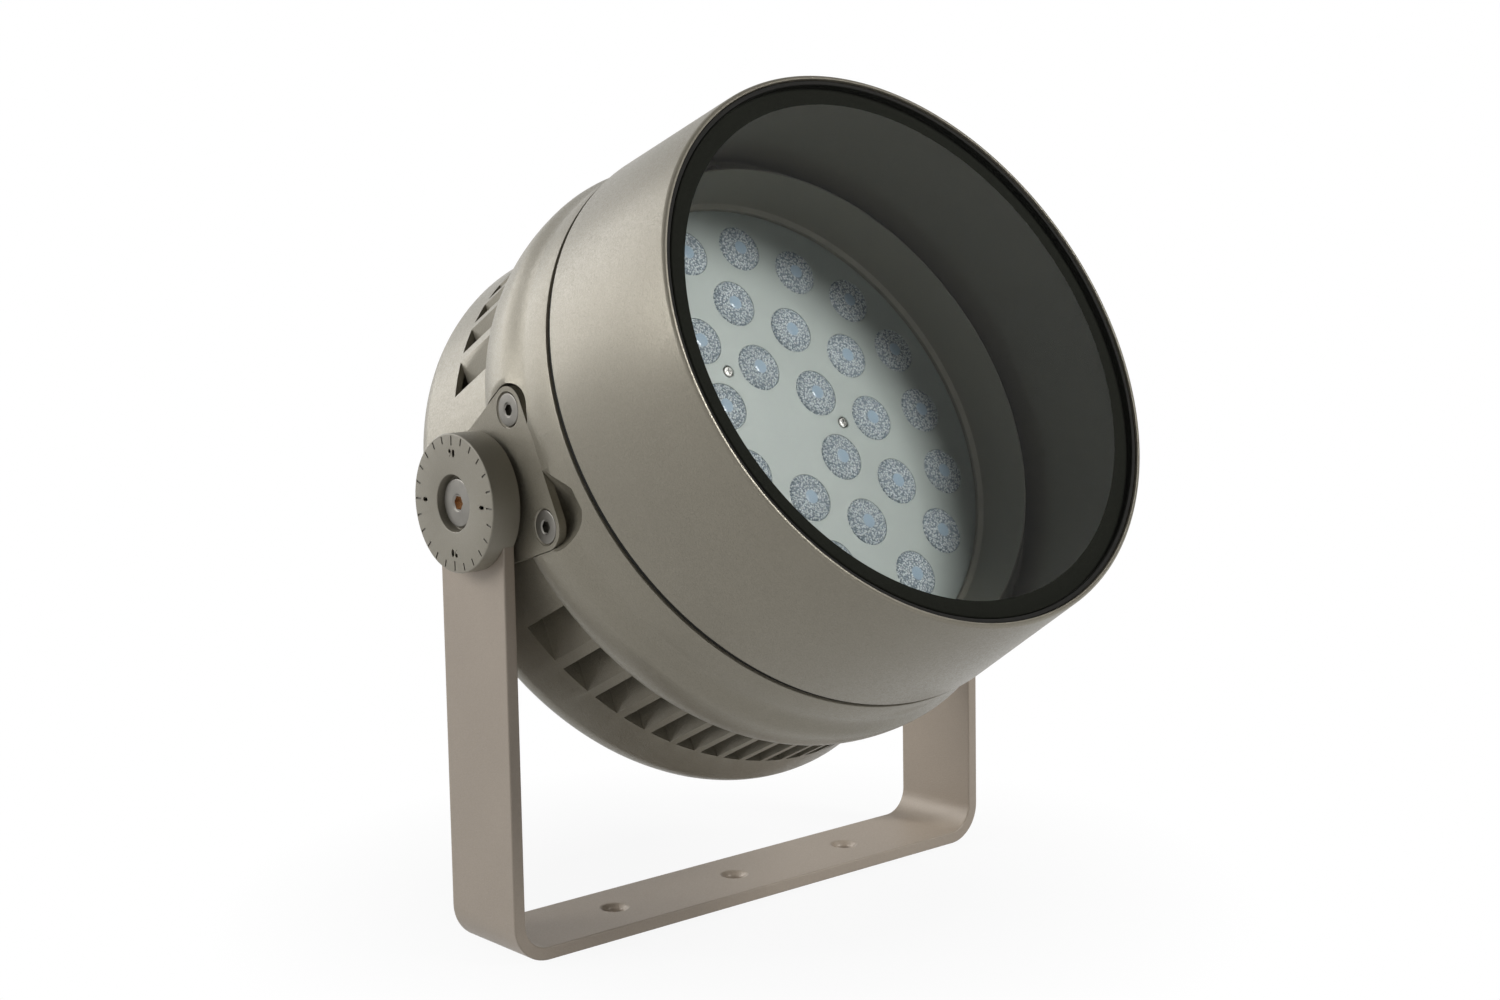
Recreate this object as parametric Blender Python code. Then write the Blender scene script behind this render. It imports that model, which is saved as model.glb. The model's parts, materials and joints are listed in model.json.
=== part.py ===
"""LED spotlight: a round die-cast head that tilts in a U-shaped yoke.

World frame, in metres: the yoke's base bar lies along X with its underside
at Z = 0, its middle fixing hole at the origin, and the lamp shines towards
-Y and up. The head's pieces are modelled in the head's own frame, with the
tilt axis along X through its origin and the lamp's axis along -Y. A station
is a distance ahead of the tilt axis, so the front has positive stations.
"""
import math

import bmesh
import bpy
from mathutils import Vector

# Fits
GAP = 0.0003                      # between pieces that touch
RUNNING_GAP = 0.0005              # between the head's sides and the yoke
HOLE_SPARE = 0.001                # how much deeper a hole is than its screw
ROOT = 0.002                      # how far a joined form starts inside its parent
MARGIN = 0.005                    # how far a cutter passes the faces it cuts
SEGMENTS = 32                     # facets of the large rings
SMALL_SEGMENTS = 8                # facets of screws and small holes
BOLT_SEGMENTS = 16                # facets of the pivot bolts and their bores
DIAL_SEGMENTS = 24
WASHER_SEGMENTS = 20
FACET_SAG = math.cos(math.pi / SEGMENTS)      # how far a large ring dips between corners

# Yoke: flat bar bent to a U, as wide as the head's flat sides ask
BAR_WIDTH = 0.050
BAR_THICK = 0.006
BEND_RADIUS = 0.013               # inside of each bend
BEND_STEPS = 5
ARM_END_STEPS = 10
PIVOT_HEIGHT = 0.210
FIXING_PITCH = 0.076
FIXING_RADIUS = 0.0045
FIXING_SEGMENTS = 12
COUNTERSINK_RADIUS = 0.00675
COUNTERSINK_DEPTH = 0.0022
TILT = math.radians(27.5)         # how far the lamp looks up in the photograph

# Goniometer cap on each arm
DIAL_RADIUS = 0.0313
DIAL_STANDOUT = 0.009             # face of the cap outside the arm
DIAL_CHAMFER = 0.0006
RECESS_RADIUS = 0.0129
RECESS_DEPTH = 0.0052

# Pivot bolt and brake washer
BOLT_RADIUS = 0.006
BOLT_HEAD_RADIUS = 0.0111
BOLT_HEAD_THICK = 0.0025
BOLT_SOCKET_RADIUS = 0.0046
BOLT_SOCKET_DEPTH = 0.005
BOLT_REACH = 0.0071               # thread below the floor of the pocket
WASHER_RADIUS = 0.020
WASHER_THICK = 0.0019

# Trunnion plate: three ears round a hub, seen along X as (station, height)
PLATE_THICK = 0.0039
HUB_RADIUS = 0.0315
EAR_RADIUS = 0.0105
EAR_PLACES = ((0.036, 0.028), (0.036, -0.028), (-0.031, 0.0))
POCKET_GAP = 0.0035               # round the plate, in the casting
EAR_SCREW_RADIUS = 0.003
EAR_SCREW_HEAD_RADIUS = 0.00575
EAR_SCREW_HEAD_DEPTH = 0.0028
EAR_SCREW_SOCKET_RADIUS = 0.0023
EAR_SCREW_SOCKET_DEPTH = 0.0024
EAR_SCREW_REACH = 0.0075

# Front ring: a conical barrel with a thin rounded rim
FRONT = 0.1485
RIM_INSET = 0.0093                # rim inside the seam, by the barrel's taper
RIM_WIDTH = 0.0032
RIM_ROUNDING = 0.0013
RING_WALL = 0.0045
SEAM = 0.0713
SEAM_WIDTH = 0.0017
SEAM_INSET = 0.0047               # seam inside the bulge
SPIGOT_STEP = 0.0034              # from the seam's outside to the spigot
SPIGOT_WALL = 0.0025
SEAL_SET_BACK = 0.0006            # seam gasket below the outside
SEAT_WIDTH = 0.006                # ledge behind the glass
SEAT_THICK = 0.0028
FLANGE = 0.0615                   # front face of the screw flange
FLANGE_THICK = 0.0035
RING_SCREW_INSET = 0.0064         # screw circle inside the barrel's wall
RING_SCREW_COUNT = 6

# Glass and its rubber ring
GLASS_THICK = 0.004
GLASS_SET_BACK = 0.001
GASKET_FOOT = 0.001
GASKET_LIP = 0.002
GASKET_BED = 0.0055               # width of rubber under the glass

# Rear housing, outside
BULGE_RADIUS = 0.149              # largest radius of the head; the next insets are from it
BULGE = 0.038
SIDE_CUT = 0.004                  # flat sides
SKIN_INSET = 0.0041               # end of the straight skirt
SKIN_END = 0.054
VENT_FRONT = 0.0163
VENT_FRONT_INSET = 0.006
VENT_REAR = -0.0164
VENT_REAR_INSET = 0.0064
BAND = -0.037
BAND_INSET = 0.004
REAR = -0.0502
REAR_INSET = 0.0114
BAND_WALL = 0.003

# Cooling fins and the windows between them, in planes across X
FIN_THICK = 0.0029
WINDOWS_PER_SIDE = 11
BOLT_COVER = 0.00085              # wall between the last window and the pivot bolt
FIN_END = -0.016                  # free rear edges of the fins
FEED_BOSS_RADIUS = 0.010
FEED_RADIUS = 0.005

# Well in the front of the housing, with the collar, plate, lenses and board
WELL_INSET = 0.0193               # well's wall inside the seam
POCKET_INSET = 0.006              # LED pocket inside the well
LED_PLATE_FRONT = 0.047
LED_PLATE_THICK = 0.002
LED_PLATE_INSET = 0.0035
LED_POCKET_DEPTH = 0.0054
COLLAR_INSET = 0.004              # rear end of the cone inside the well
COLLAR_FLARE = 0.0044             # from there to the lip
COLLAR_TREAD = 0.0016             # width of each of the two steps of its foot
COLLAR_LIP = 0.0763
COLLAR_WALL = 0.0013
COLLAR_STEP = 0.0017
COLLAR_FLANGE_WIDTH = 0.003       # from the well's wall over the ledge
COLLAR_FLANGE_THICK = 0.001
LENS_RING_GAP = 0.0302            # from the inner rings' farthest lenses to the outer circle
LENS_OUTER_INSET = 0.0264         # outer lens circle inside the well
LENS_TURN = 2.6                   # degrees that plate and board are turned in the well
LENS_CORNER_INSET = 0.0307        # where that circle meets the lattice
LENS_OPENING_RADIUS = 0.0120
LENS_RADIUS = 0.0113
LENS_FOOT_RADIUS = 0.0085
LENS_SET_BACK = 0.0004
LENS_SHEET_THICK = 0.0012
LENS_SHEET_RIM = 0.002            # width of the foot that stands on the board
BOARD_INSET = 0.0095
BOARD_THICK = 0.0016
CHIP_HEIGHT = 0.001               # room for the LED chips under the sheet
PLATE_SCREW_COUNT = 3
PLATE_POST_RADIUS = 0.004

# Rear cover and the sealed driver chamber
COVER_THICK = 0.003
COVER_EDGE = 0.0012
COVER_RAISE = 0.0024
COVER_RAISE_INSET = 0.0316        # raised middle inside the rear edge
COVER_SCREW_INSET = 0.0076        # screw circle inside the rear edge
COVER_SCREW_COUNT = 6
COVER_BOSS_RADIUS = 0.0052
REAR_GASKET_THICK = 0.0008
PAN_INSET = 0.0391                # pan inside the rear edge
PAN_WALL = 0.0022
PAN_FLANGE_WIDTH = 0.0175
PAN_FLANGE_THICK = 0.0014
DRIVER_GASKET_THICK = 0.0008
DRIVER_GASKET_INSET = 0.002
GROMMET_WALL = 0.001
GROMMET_LIP = 0.002
GROMMET_LIP_THICK = 0.0017
DRIVER_SIDE_ROOM = 0.0435         # from the pan's radius to the driver's sides
DRIVER_ROOM = 0.002               # under the grommet's lip
DRIVER_THICK = 0.024              # along the lamp's axis
DRIVER_HEIGHT = 0.056
TERMINAL_WIDTH = 0.042
TERMINAL_THICK = 0.014
TERMINAL_HEIGHT = 0.018
TERMINAL_RISE = 0.034             # of its middle above the lamp's axis

# Cable gland and breather in the rear cover
GLAND_INSET = 0.028               # gland's axis inside the raised middle
GLAND_BORE_RADIUS = 0.005
GLAND_THREAD_RADIUS = 0.008
GLAND_HEX_RADIUS = 0.013
GLAND_HEX_THICK = 0.005
GLAND_TAIL_RADIUS = 0.009
GLAND_TAIL = 0.009
GLAND_CAP_WALL = 0.003
GLAND_CAP_LENGTH = 0.016
GLAND_CAP_SHOULDER = 0.005
GLAND_CAP_CROWN = 0.001
GLAND_CAP_TAPER = 0.0035
GLAND_CAP_COLLET = 0.004
GLAND_PLUG_SET_BACK = 0.0015
GLAND_END_ROOM = 0.002            # thread that stands past the locknut
LOCKNUT_THICK = 0.004
BREATHER_ACROSS = 0.045
BREATHER_DROP = 0.060
BREATHER_RADIUS = 0.007
BREATHER_THREAD_RADIUS = 0.004
BREATHER_THICK = 0.004
BREATHER_REACH = 0.003
BREATHER_CHAMFER = 0.001

# Small screws: head radius, head thickness, shank radius, grip
PAN_HEAD_TAPER = 0.8
RING_SCREW = (0.0035, 0.0024, 0.002, 0.010)
PLATE_SCREW = (0.0028, 0.0016, 0.0015, 0.0115)
COVER_SCREW = (0.0042, 0.0026, 0.0021, 0.014)

# Places that follow from the sizes above
SIDE_FLAT = BULGE_RADIUS - SIDE_CUT
ARM_INNER = SIDE_FLAT + RUNNING_GAP
ARM_OUTER = ARM_INNER + BAR_THICK
DIAL_FACE = ARM_OUTER + DIAL_STANDOUT
TRUNNION_FACE = ARM_INNER - 2 * GAP - WASHER_THICK
POCKET_FLOOR = TRUNNION_FACE - PLATE_THICK - GAP
SKIN_RADIUS = BULGE_RADIUS - SKIN_INSET
VENT_FRONT_RADIUS = BULGE_RADIUS - VENT_FRONT_INSET
VENT_REAR_RADIUS = BULGE_RADIUS - VENT_REAR_INSET
BAND_RADIUS = BULGE_RADIUS - BAND_INSET
REAR_RADIUS = BULGE_RADIUS - REAR_INSET
SEAM_RADIUS = BULGE_RADIUS - SEAM_INSET
RIM_RADIUS = SEAM_RADIUS - RIM_INSET
OPENING_RADIUS = RIM_RADIUS - RIM_WIDTH
GLASS_FRONT = FRONT - GLASS_SET_BACK
GLASS_BACK = GLASS_FRONT - GLASS_THICK
SEAT = GLASS_BACK - 2 * GAP - GASKET_FOOT
RING_SEAM = SEAM + SEAM_WIDTH / 2
HOUSING_SEAM = SEAM - SEAM_WIDTH / 2
LEDGE = FLANGE - FLANGE_THICK - GAP
SPIGOT_RADIUS = SEAM_RADIUS - SPIGOT_STEP
BORE_RADIUS = SPIGOT_RADIUS + GAP
BARREL_RADIUS = SPIGOT_RADIUS - SPIGOT_WALL
RING_SCREW_CIRCLE = BARREL_RADIUS - RING_SCREW_INSET
WELL_RADIUS = SEAM_RADIUS - WELL_INSET
POCKET_RADIUS = WELL_RADIUS - POCKET_INSET
LED_PLATE_RADIUS = WELL_RADIUS - LED_PLATE_INSET
COLLAR_REAR_RADIUS = WELL_RADIUS - COLLAR_INSET
COLLAR_LIP_RADIUS = COLLAR_REAR_RADIUS + COLLAR_FLARE
COLLAR_STEP_RADIUS = COLLAR_REAR_RADIUS - COLLAR_TREAD
COLLAR_FOOT_RADIUS = COLLAR_STEP_RADIUS - COLLAR_TREAD
COLLAR_FLANGE_RADIUS = WELL_RADIUS + COLLAR_FLANGE_WIDTH
LENS_OUTER_CIRCLE = WELL_RADIUS - LENS_OUTER_INSET
LENS_CORNER_CIRCLE = WELL_RADIUS - LENS_CORNER_INSET
LENS_PITCH = (LENS_OUTER_CIRCLE - LENS_RING_GAP) / 2
PLATE_SCREW_CIRCLE = 2 * LENS_PITCH / math.sqrt(3)      # midway between three lenses
BOARD_RADIUS = WELL_RADIUS - BOARD_INSET
LED_SEAT = LED_PLATE_FRONT - LED_PLATE_THICK - GAP
LED_FLOOR = LED_SEAT - LED_POCKET_DEPTH
BOARD_BACK = LED_FLOOR + GAP
BOARD_FRONT = BOARD_BACK + BOARD_THICK
SHEET_BACK = BOARD_FRONT + CHIP_HEIGHT + GAP
SHEET_FRONT = SHEET_BACK + LENS_SHEET_THICK
BLOCK_FACE = POCKET_FLOOR - BOLT_REACH - GAP - BOLT_COVER
FIN_PITCH = (BLOCK_FACE + FIN_THICK / 2) / WINDOWS_PER_SIDE
COVER_SEAT = REAR - REAR_GASKET_THICK - 2 * GAP
COVER_BACK = COVER_SEAT - COVER_THICK
RAISED_SEAT = COVER_SEAT - COVER_RAISE
RAISED_BACK = COVER_BACK - COVER_RAISE
COVER_SCREW_CIRCLE = REAR_RADIUS - COVER_SCREW_INSET
COVER_RAISE_RADIUS = REAR_RADIUS - COVER_RAISE_INSET
PAN_RADIUS = REAR_RADIUS - PAN_INSET
PAN_FLANGE_RADIUS = PAN_RADIUS + PAN_FLANGE_WIDTH
GLAND_PLACE = (0.0, GLAND_INSET - COVER_RAISE_RADIUS)
BREATHER_PLACE = (BREATHER_ACROSS, -BREATHER_DROP)
BOLT_BORE = BOLT_RADIUS + GAP

AHEAD = Vector((0.0, -1.0, 0.0))
ZERO = Vector((0.0, 0.0, 0.0))


# Scene and materials

def clear_scene():
    """Take every object out of the file that the script starts in."""
    for obj in list(bpy.data.objects):
        bpy.data.objects.remove(obj, do_unlink=True)


def make_material(name, colour, roughness, metallic=0.0, alpha=1.0):
    """A plain Principled material."""
    material = bpy.data.materials.new(name)
    material.use_nodes = True
    shader = material.node_tree.nodes["Principled BSDF"]
    shader.inputs["Base Color"].default_value = (*colour, 1.0)
    shader.inputs["Roughness"].default_value = roughness
    shader.inputs["Metallic"].default_value = metallic
    shader.inputs["Alpha"].default_value = alpha
    material.diffuse_color = (*colour, alpha)
    return material


PAINT = (0.36, 0.33, 0.28)
STEEL = (0.42, 0.42, 0.43)
BLACK = (0.012, 0.012, 0.011)
FINISHES = {
    "paint": (PAINT, 0.42, 0.55),
    "steel": (STEEL, 0.32, 1.0),
    "rubber": (BLACK, 0.75, 0.0),
    "glass": ((0.80, 0.88, 0.86), 0.03, 0.0, 0.25),
    "plate": ((0.35, 0.41, 0.40), 0.45, 0.3),
    "lens": ((0.70, 0.80, 0.86), 0.12, 0.0, 0.6),
    "board": ((0.75, 0.76, 0.74), 0.45, 0.0),
    "driver": ((0.05, 0.05, 0.055), 0.5, 0.0),
    "terminal": ((0.65, 0.64, 0.58), 0.5, 0.0),
    "brass": ((0.55, 0.48, 0.36), 0.35, 1.0),
    "pan": ((0.45, 0.46, 0.47), 0.45, 0.9),
}


# Shapes, each added to a bmesh as one more closed body

def at(station, across=0.0, up=0.0):
    """A point of the head from its station, X and height."""
    return Vector((across, -station, up))


def clock(radius, degrees):
    """X and height of a point on a circle round the lamp's axis."""
    angle = math.radians(degrees)
    return radius * math.cos(angle), radius * math.sin(angle)


def arc(centre, radius, start, end, steps):
    """Points of an arc in a plane, angles in degrees."""
    points = []
    for step in range(steps + 1):
        angle = math.radians(start + (end - start) * step / steps)
        points.append((centre[0] + radius * math.cos(angle),
                       centre[1] + radius * math.sin(angle)))
    return points


def belt(circles, steps=24):
    """Outline of a belt round circles (u, v, radius) in a plane."""
    points = []
    for step in range(steps):
        angle = 2 * math.pi * step / steps
        cos, sin = math.cos(angle), math.sin(angle)
        u, v, radius = max(circles, key=lambda c: c[0] * cos + c[1] * sin + c[2])
        points.append((u + radius * cos, v + radius * sin))
    return points


def ease(start, end, steps):
    """Profile points from start to end on an S curve, without the start."""
    points = []
    for step in range(1, steps + 1):
        share = step / steps
        rise = (1 - math.cos(math.pi * share)) / 2
        points.append((start[0] + (end[0] - start[0]) * share,
                       start[1] + (end[1] - start[1]) * rise))
    return points


def shoulder(start, end, steps):
    """Profile points on a quarter ellipse, level at start, steep at end."""
    points = []
    for step in range(1, steps + 1):
        angle = math.pi / 2 * step / steps
        points.append((start[0] + (end[0] - start[0]) * math.sin(angle),
                       end[1] + (start[1] - end[1]) * math.cos(angle)))
    return points


def add_turned(bm, profile, origin=ZERO, axis=AHEAD, segments=SEGMENTS):
    """Spin a profile of (distance along axis, radius) into a closed body."""
    old = set(bm.verts)
    side = Vector((0.0, 0.0, 1.0)) if abs(axis.z) < 0.5 else Vector((1.0, 0.0, 0.0))
    verts = [bm.verts.new(origin + axis * h + side * r) for h, r in profile]
    edges = [bm.edges.new(pair) for pair in zip(verts, verts[1:])]
    if profile[0][1] > 0:
        edges.append(bm.edges.new((verts[-1], verts[0])))
    bmesh.ops.spin(bm, geom=verts + edges, cent=origin, axis=axis,
                   angle=2 * math.pi, steps=segments, use_merge=True)
    new = [vert for vert in bm.verts if vert not in old]
    bmesh.ops.remove_doubles(bm, verts=new, dist=1e-6)


def add_rod(bm, start, end, radius, end_radius=None, segments=SMALL_SEGMENTS):
    """A round rod, or a cone, between two points."""
    length = (end - start).length
    far = radius if end_radius is None else end_radius
    add_turned(bm, [(0, 0), (0, radius), (length, far), (length, 0)],
               start, (end - start).normalized(), segments)


def add_box(bm, low, high):
    """A box between two corners."""
    verts = bmesh.ops.create_cube(bm, size=1.0)["verts"]
    for vert in verts:
        for axis in range(3):
            middle = (low[axis] + high[axis]) / 2
            vert.co[axis] = middle + vert.co[axis] * (high[axis] - low[axis])


def add_prism(bm, outline, depth):
    """A flat outline of 3-D points, extruded by the vector depth."""
    face = bm.faces.new([bm.verts.new(point) for point in outline])
    grown = bmesh.ops.extrude_face_region(bm, geom=[face])["geom"]
    top = [item for item in grown if isinstance(item, bmesh.types.BMVert)]
    bmesh.ops.translate(bm, vec=depth, verts=top)


# Objects

def finish(name, bm, material=None, parent=None):
    """Make an object from a bmesh, facing out and smooth where it is round."""
    bmesh.ops.recalc_face_normals(bm, faces=bm.faces[:])
    mesh = bpy.data.meshes.new(name)
    bm.to_mesh(mesh)
    bm.free()
    if material is not None:
        mesh.materials.append(material)
        mesh.shade_smooth()
        mesh.set_sharp_from_angle(angle=math.radians(35))
    obj = bpy.data.objects.new(name, mesh)
    bpy.context.scene.collection.objects.link(obj)
    obj.parent = parent
    return obj


def piece(name, finish_name, bm, parent=None):
    """A visible piece of the lamp, with a material of its own."""
    material = make_material(name, *FINISHES[finish_name])
    return finish(name, bm, material, parent)


def shape(target, bm, operation="DIFFERENCE"):
    """Cut, join or intersect target with the bodies in bm."""
    tool = finish("tool_" + target.name, bm, None, target.parent)
    tool.hide_render = True
    tool.display_type = "WIRE"
    modifier = target.modifiers.new(operation.lower(), "BOOLEAN")
    modifier.operation = operation
    modifier.object = tool
    modifier.solver = "EXACT"
    return tool


def turned_piece(name, finish_name, profile, parent):
    """A ring or disc round the lamp's axis."""
    bm = bmesh.new()
    add_turned(bm, profile)
    return piece(name, finish_name, bm, parent)


# Yoke

def build_yoke():
    """The bent bar: a U outline, extruded, with round ends and holes."""
    outer = BEND_RADIUS + BAR_THICK
    top = PIVOT_HEIGHT + BAR_WIDTH
    left = (-ARM_OUTER + outer, outer)
    right = (ARM_OUTER - outer, outer)
    outline = [(-ARM_OUTER, top)]
    outline += arc(left, outer, 180, 270, BEND_STEPS)
    outline += arc(right, outer, 270, 360, BEND_STEPS)
    outline += [(ARM_OUTER, top), (ARM_INNER, top)]
    outline += arc(right, BEND_RADIUS, 360, 270, BEND_STEPS)
    outline += arc(left, BEND_RADIUS, 270, 180, BEND_STEPS)
    outline += [(-ARM_INNER, top)]
    half = BAR_WIDTH / 2
    bm = bmesh.new()
    near = -half - MARGIN
    add_prism(bm, [Vector((x, near, z)) for x, z in outline],
              Vector((0, BAR_WIDTH + 2 * MARGIN, 0)))
    yoke = piece("yoke_bracket", "paint", bm)

    side = [(-half, -MARGIN), (half, -MARGIN)]
    side += arc((0, PIVOT_HEIGHT), half, 0, 180, ARM_END_STEPS)
    bm = bmesh.new()
    reach = ARM_OUTER + MARGIN
    add_prism(bm, [Vector((-reach, y, z)) for y, z in side], Vector((2 * reach, 0, 0)))
    shape(yoke, bm, "INTERSECT")

    bm = bmesh.new()
    slope = (COUNTERSINK_RADIUS - FIXING_RADIUS) / COUNTERSINK_DEPTH
    for place in (-1, 0, 1):
        x = place * FIXING_PITCH
        cone = BAR_THICK - COUNTERSINK_DEPTH
        profile = [(-MARGIN, 0), (-MARGIN, FIXING_RADIUS), (cone, FIXING_RADIUS),
                   (BAR_THICK + MARGIN, COUNTERSINK_RADIUS + MARGIN * slope),
                   (BAR_THICK + MARGIN, 0)]
        add_turned(bm, profile, Vector((x, 0, 0)), Vector((0, 0, 1)), FIXING_SEGMENTS)
    for side in (-1, 1):
        add_rod(bm, Vector((side * (ARM_INNER - MARGIN), 0, PIVOT_HEIGHT)),
                Vector((side * (ARM_OUTER + MARGIN), 0, PIVOT_HEIGHT)), BOLT_BORE,
                segments=BOLT_SEGMENTS)
    shape(yoke, bm)
    return yoke


def build_goniometer(name, side):
    """A cap turned round the pivot, with a slot that fits over the arm."""
    pivot = Vector((0, 0, PIVOT_HEIGHT))
    out = Vector((side, 0, 0))
    back = ARM_INNER + RUNNING_GAP
    floor = DIAL_FACE - RECESS_DEPTH
    profile = [(back, BOLT_BORE), (back, DIAL_RADIUS),
               (DIAL_FACE - DIAL_CHAMFER, DIAL_RADIUS),
               (DIAL_FACE, DIAL_RADIUS - DIAL_CHAMFER),
               (DIAL_FACE, RECESS_RADIUS), (floor, RECESS_RADIUS),
               (floor, BOLT_BORE)]
    bm = bmesh.new()
    add_turned(bm, profile, pivot, out, DIAL_SEGMENTS)
    cap = piece(name, "paint", bm)
    half = BAR_WIDTH / 2 + GAP
    outline = [(-half, 0), (half, 0)] + arc((0, PIVOT_HEIGHT), half, 0, 180, ARM_END_STEPS)
    start = ARM_INNER - MARGIN
    bm = bmesh.new()
    add_prism(bm, [Vector((side * start, y, z)) for y, z in outline],
              out * (ARM_OUTER + GAP - start))
    shape(cap, bm)
    return cap


def build_washer(name, side):
    """Flat brake washer between the arm and the trunnion plate."""
    bm = bmesh.new()
    inner = TRUNNION_FACE + GAP
    outer = inner + WASHER_THICK
    profile = [(inner, BOLT_BORE), (inner, WASHER_RADIUS),
               (outer, WASHER_RADIUS), (outer, BOLT_BORE)]
    add_turned(bm, profile, Vector((0, 0, PIVOT_HEIGHT)), Vector((side, 0, 0)),
               WASHER_SEGMENTS)
    return piece(name, "rubber", bm)


# Head: the casting

def rear_skin():
    """Profile of the rear band's outside, from the windows to the rear."""
    points = [(VENT_REAR, VENT_REAR_RADIUS)]
    points.append((BAND, BAND_RADIUS))
    points += shoulder(points[-1], (REAR, REAR_RADIUS), 2)
    return points


def pocket_outline(extra):
    """Outline round the ears and the hub, grown by extra."""
    circles = [(station, up, EAR_RADIUS + extra) for station, up in EAR_PLACES]
    circles.append((0, 0, HUB_RADIUS + extra))
    return belt(circles)


def add_side_prism(bm, outline, side, inner, outer):
    """Extrude an outline of (station, height) outwards along X."""
    points = [at(station, side * inner, up) for station, up in outline]
    add_prism(bm, points, Vector((side * (outer - inner), 0, 0)))


def build_rear_housing(head):
    """The casting: turned body, cavity, side flats, slots, bosses and holes."""
    profile = [(LED_FLOOR, 0), (LED_FLOOR, POCKET_RADIUS), (LED_SEAT, POCKET_RADIUS),
               (LED_SEAT, WELL_RADIUS), (LEDGE, WELL_RADIUS), (LEDGE, BORE_RADIUS),
               (HOUSING_SEAM, BORE_RADIUS), (HOUSING_SEAM, SEAM_RADIUS),
               (SKIN_END, SKIN_RADIUS)]
    profile += ease(profile[-1], (BULGE, BULGE_RADIUS), 2)
    profile += shoulder(profile[-1], (VENT_FRONT, VENT_FRONT_RADIUS), 2)
    profile += rear_skin()
    profile += [(REAR, 0)]
    housing = turned_piece("rear_housing", "paint", profile, head)

    reach = BULGE_RADIUS + MARGIN
    bm = bmesh.new()
    add_box(bm, at(HOUSING_SEAM + MARGIN, -SIDE_FLAT, -reach),
            at(REAR - MARGIN, SIDE_FLAT, reach))
    shape(housing, bm, "INTERSECT")

    inside = [(station, radius - BAND_WALL) for station, radius in rear_skin()]
    inside[0] = (FIN_END, inside[0][1])
    inside = [(FIN_END, 0)] + inside
    inside += [(REAR - MARGIN, REAR_RADIUS - BAND_WALL), (REAR - MARGIN, 0)]
    bm = bmesh.new()
    add_turned(bm, inside)
    cavity = shape(housing, bm)
    bm = bmesh.new()
    add_box(bm, at(FIN_END + MARGIN, -BLOCK_FACE, -reach),
            at(REAR - 2 * MARGIN, BLOCK_FACE, reach))
    shape(cavity, bm, "INTERSECT")

    gap = FIN_PITCH - FIN_THICK
    bm = bmesh.new()
    for number in range(2 * WINDOWS_PER_SIDE):
        x = (number - WINDOWS_PER_SIDE + 0.5) * FIN_PITCH
        add_box(bm, at(VENT_FRONT, x - gap / 2, -reach), at(VENT_REAR, x + gap / 2, reach))
    shape(housing, bm)

    bm = bmesh.new()
    add_rod(bm, at(VENT_FRONT + ROOT), at(FIN_END + GAP), FEED_BOSS_RADIUS)
    for number in range(COVER_SCREW_COUNT):
        x, z = clock(COVER_SCREW_CIRCLE, 360 / COVER_SCREW_COUNT * number)
        add_rod(bm, at(FIN_END + ROOT, x, z), at(COVER_SEAT + GAP, x, z), COVER_BOSS_RADIUS)
    shape(housing, bm, "UNION")

    bm = bmesh.new()
    outline = pocket_outline(POCKET_GAP)
    for side in (-1, 1):
        add_side_prism(bm, outline, side, POCKET_FLOOR, SIDE_FLAT + MARGIN)
    shape(housing, bm)

    bm = bmesh.new()
    add_rod(bm, at(LED_FLOOR + MARGIN), at(FIN_END - MARGIN), FEED_RADIUS)
    for x, z in ring_screw_places():
        tip = FLANGE - RING_SCREW[3] - HOLE_SPARE
        add_rod(bm, at(LEDGE + MARGIN, x, z), at(tip, x, z), RING_SCREW[2] + GAP)
    for x, z in plate_screw_places():
        tip = LED_PLATE_FRONT - PLATE_SCREW[3] - HOLE_SPARE
        add_rod(bm, at(LED_FLOOR + MARGIN, x, z), at(tip, x, z), PLATE_SCREW[2] + GAP)
    for number in range(COVER_SCREW_COUNT):
        x, z = clock(COVER_SCREW_CIRCLE, 360 / COVER_SCREW_COUNT * number)
        tip = COVER_BACK + COVER_SCREW[3] + HOLE_SPARE
        add_rod(bm, at(COVER_SEAT - MARGIN, x, z), at(tip, x, z), COVER_SCREW[2] + GAP)
    for side in (-1, 1):
        mouth = side * (POCKET_FLOOR + MARGIN)
        tip = side * (POCKET_FLOOR - BOLT_REACH - GAP)
        add_rod(bm, at(0, mouth), at(0, tip), BOLT_BORE, segments=BOLT_SEGMENTS)
        for station, up in EAR_PLACES:
            tip = side * (POCKET_FLOOR - EAR_SCREW_REACH - GAP)
            add_rod(bm, at(station, mouth, up), at(station, tip, up), EAR_SCREW_RADIUS + GAP)
    shape(housing, bm)
    return housing


# Head: front ring, glass and seals

def ring_screw_places():
    """X and height of the screws in the ring's flange."""
    step = 360 / RING_SCREW_COUNT
    return [clock(RING_SCREW_CIRCLE, 90 + step * k) for k in range(RING_SCREW_COUNT)]


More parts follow.
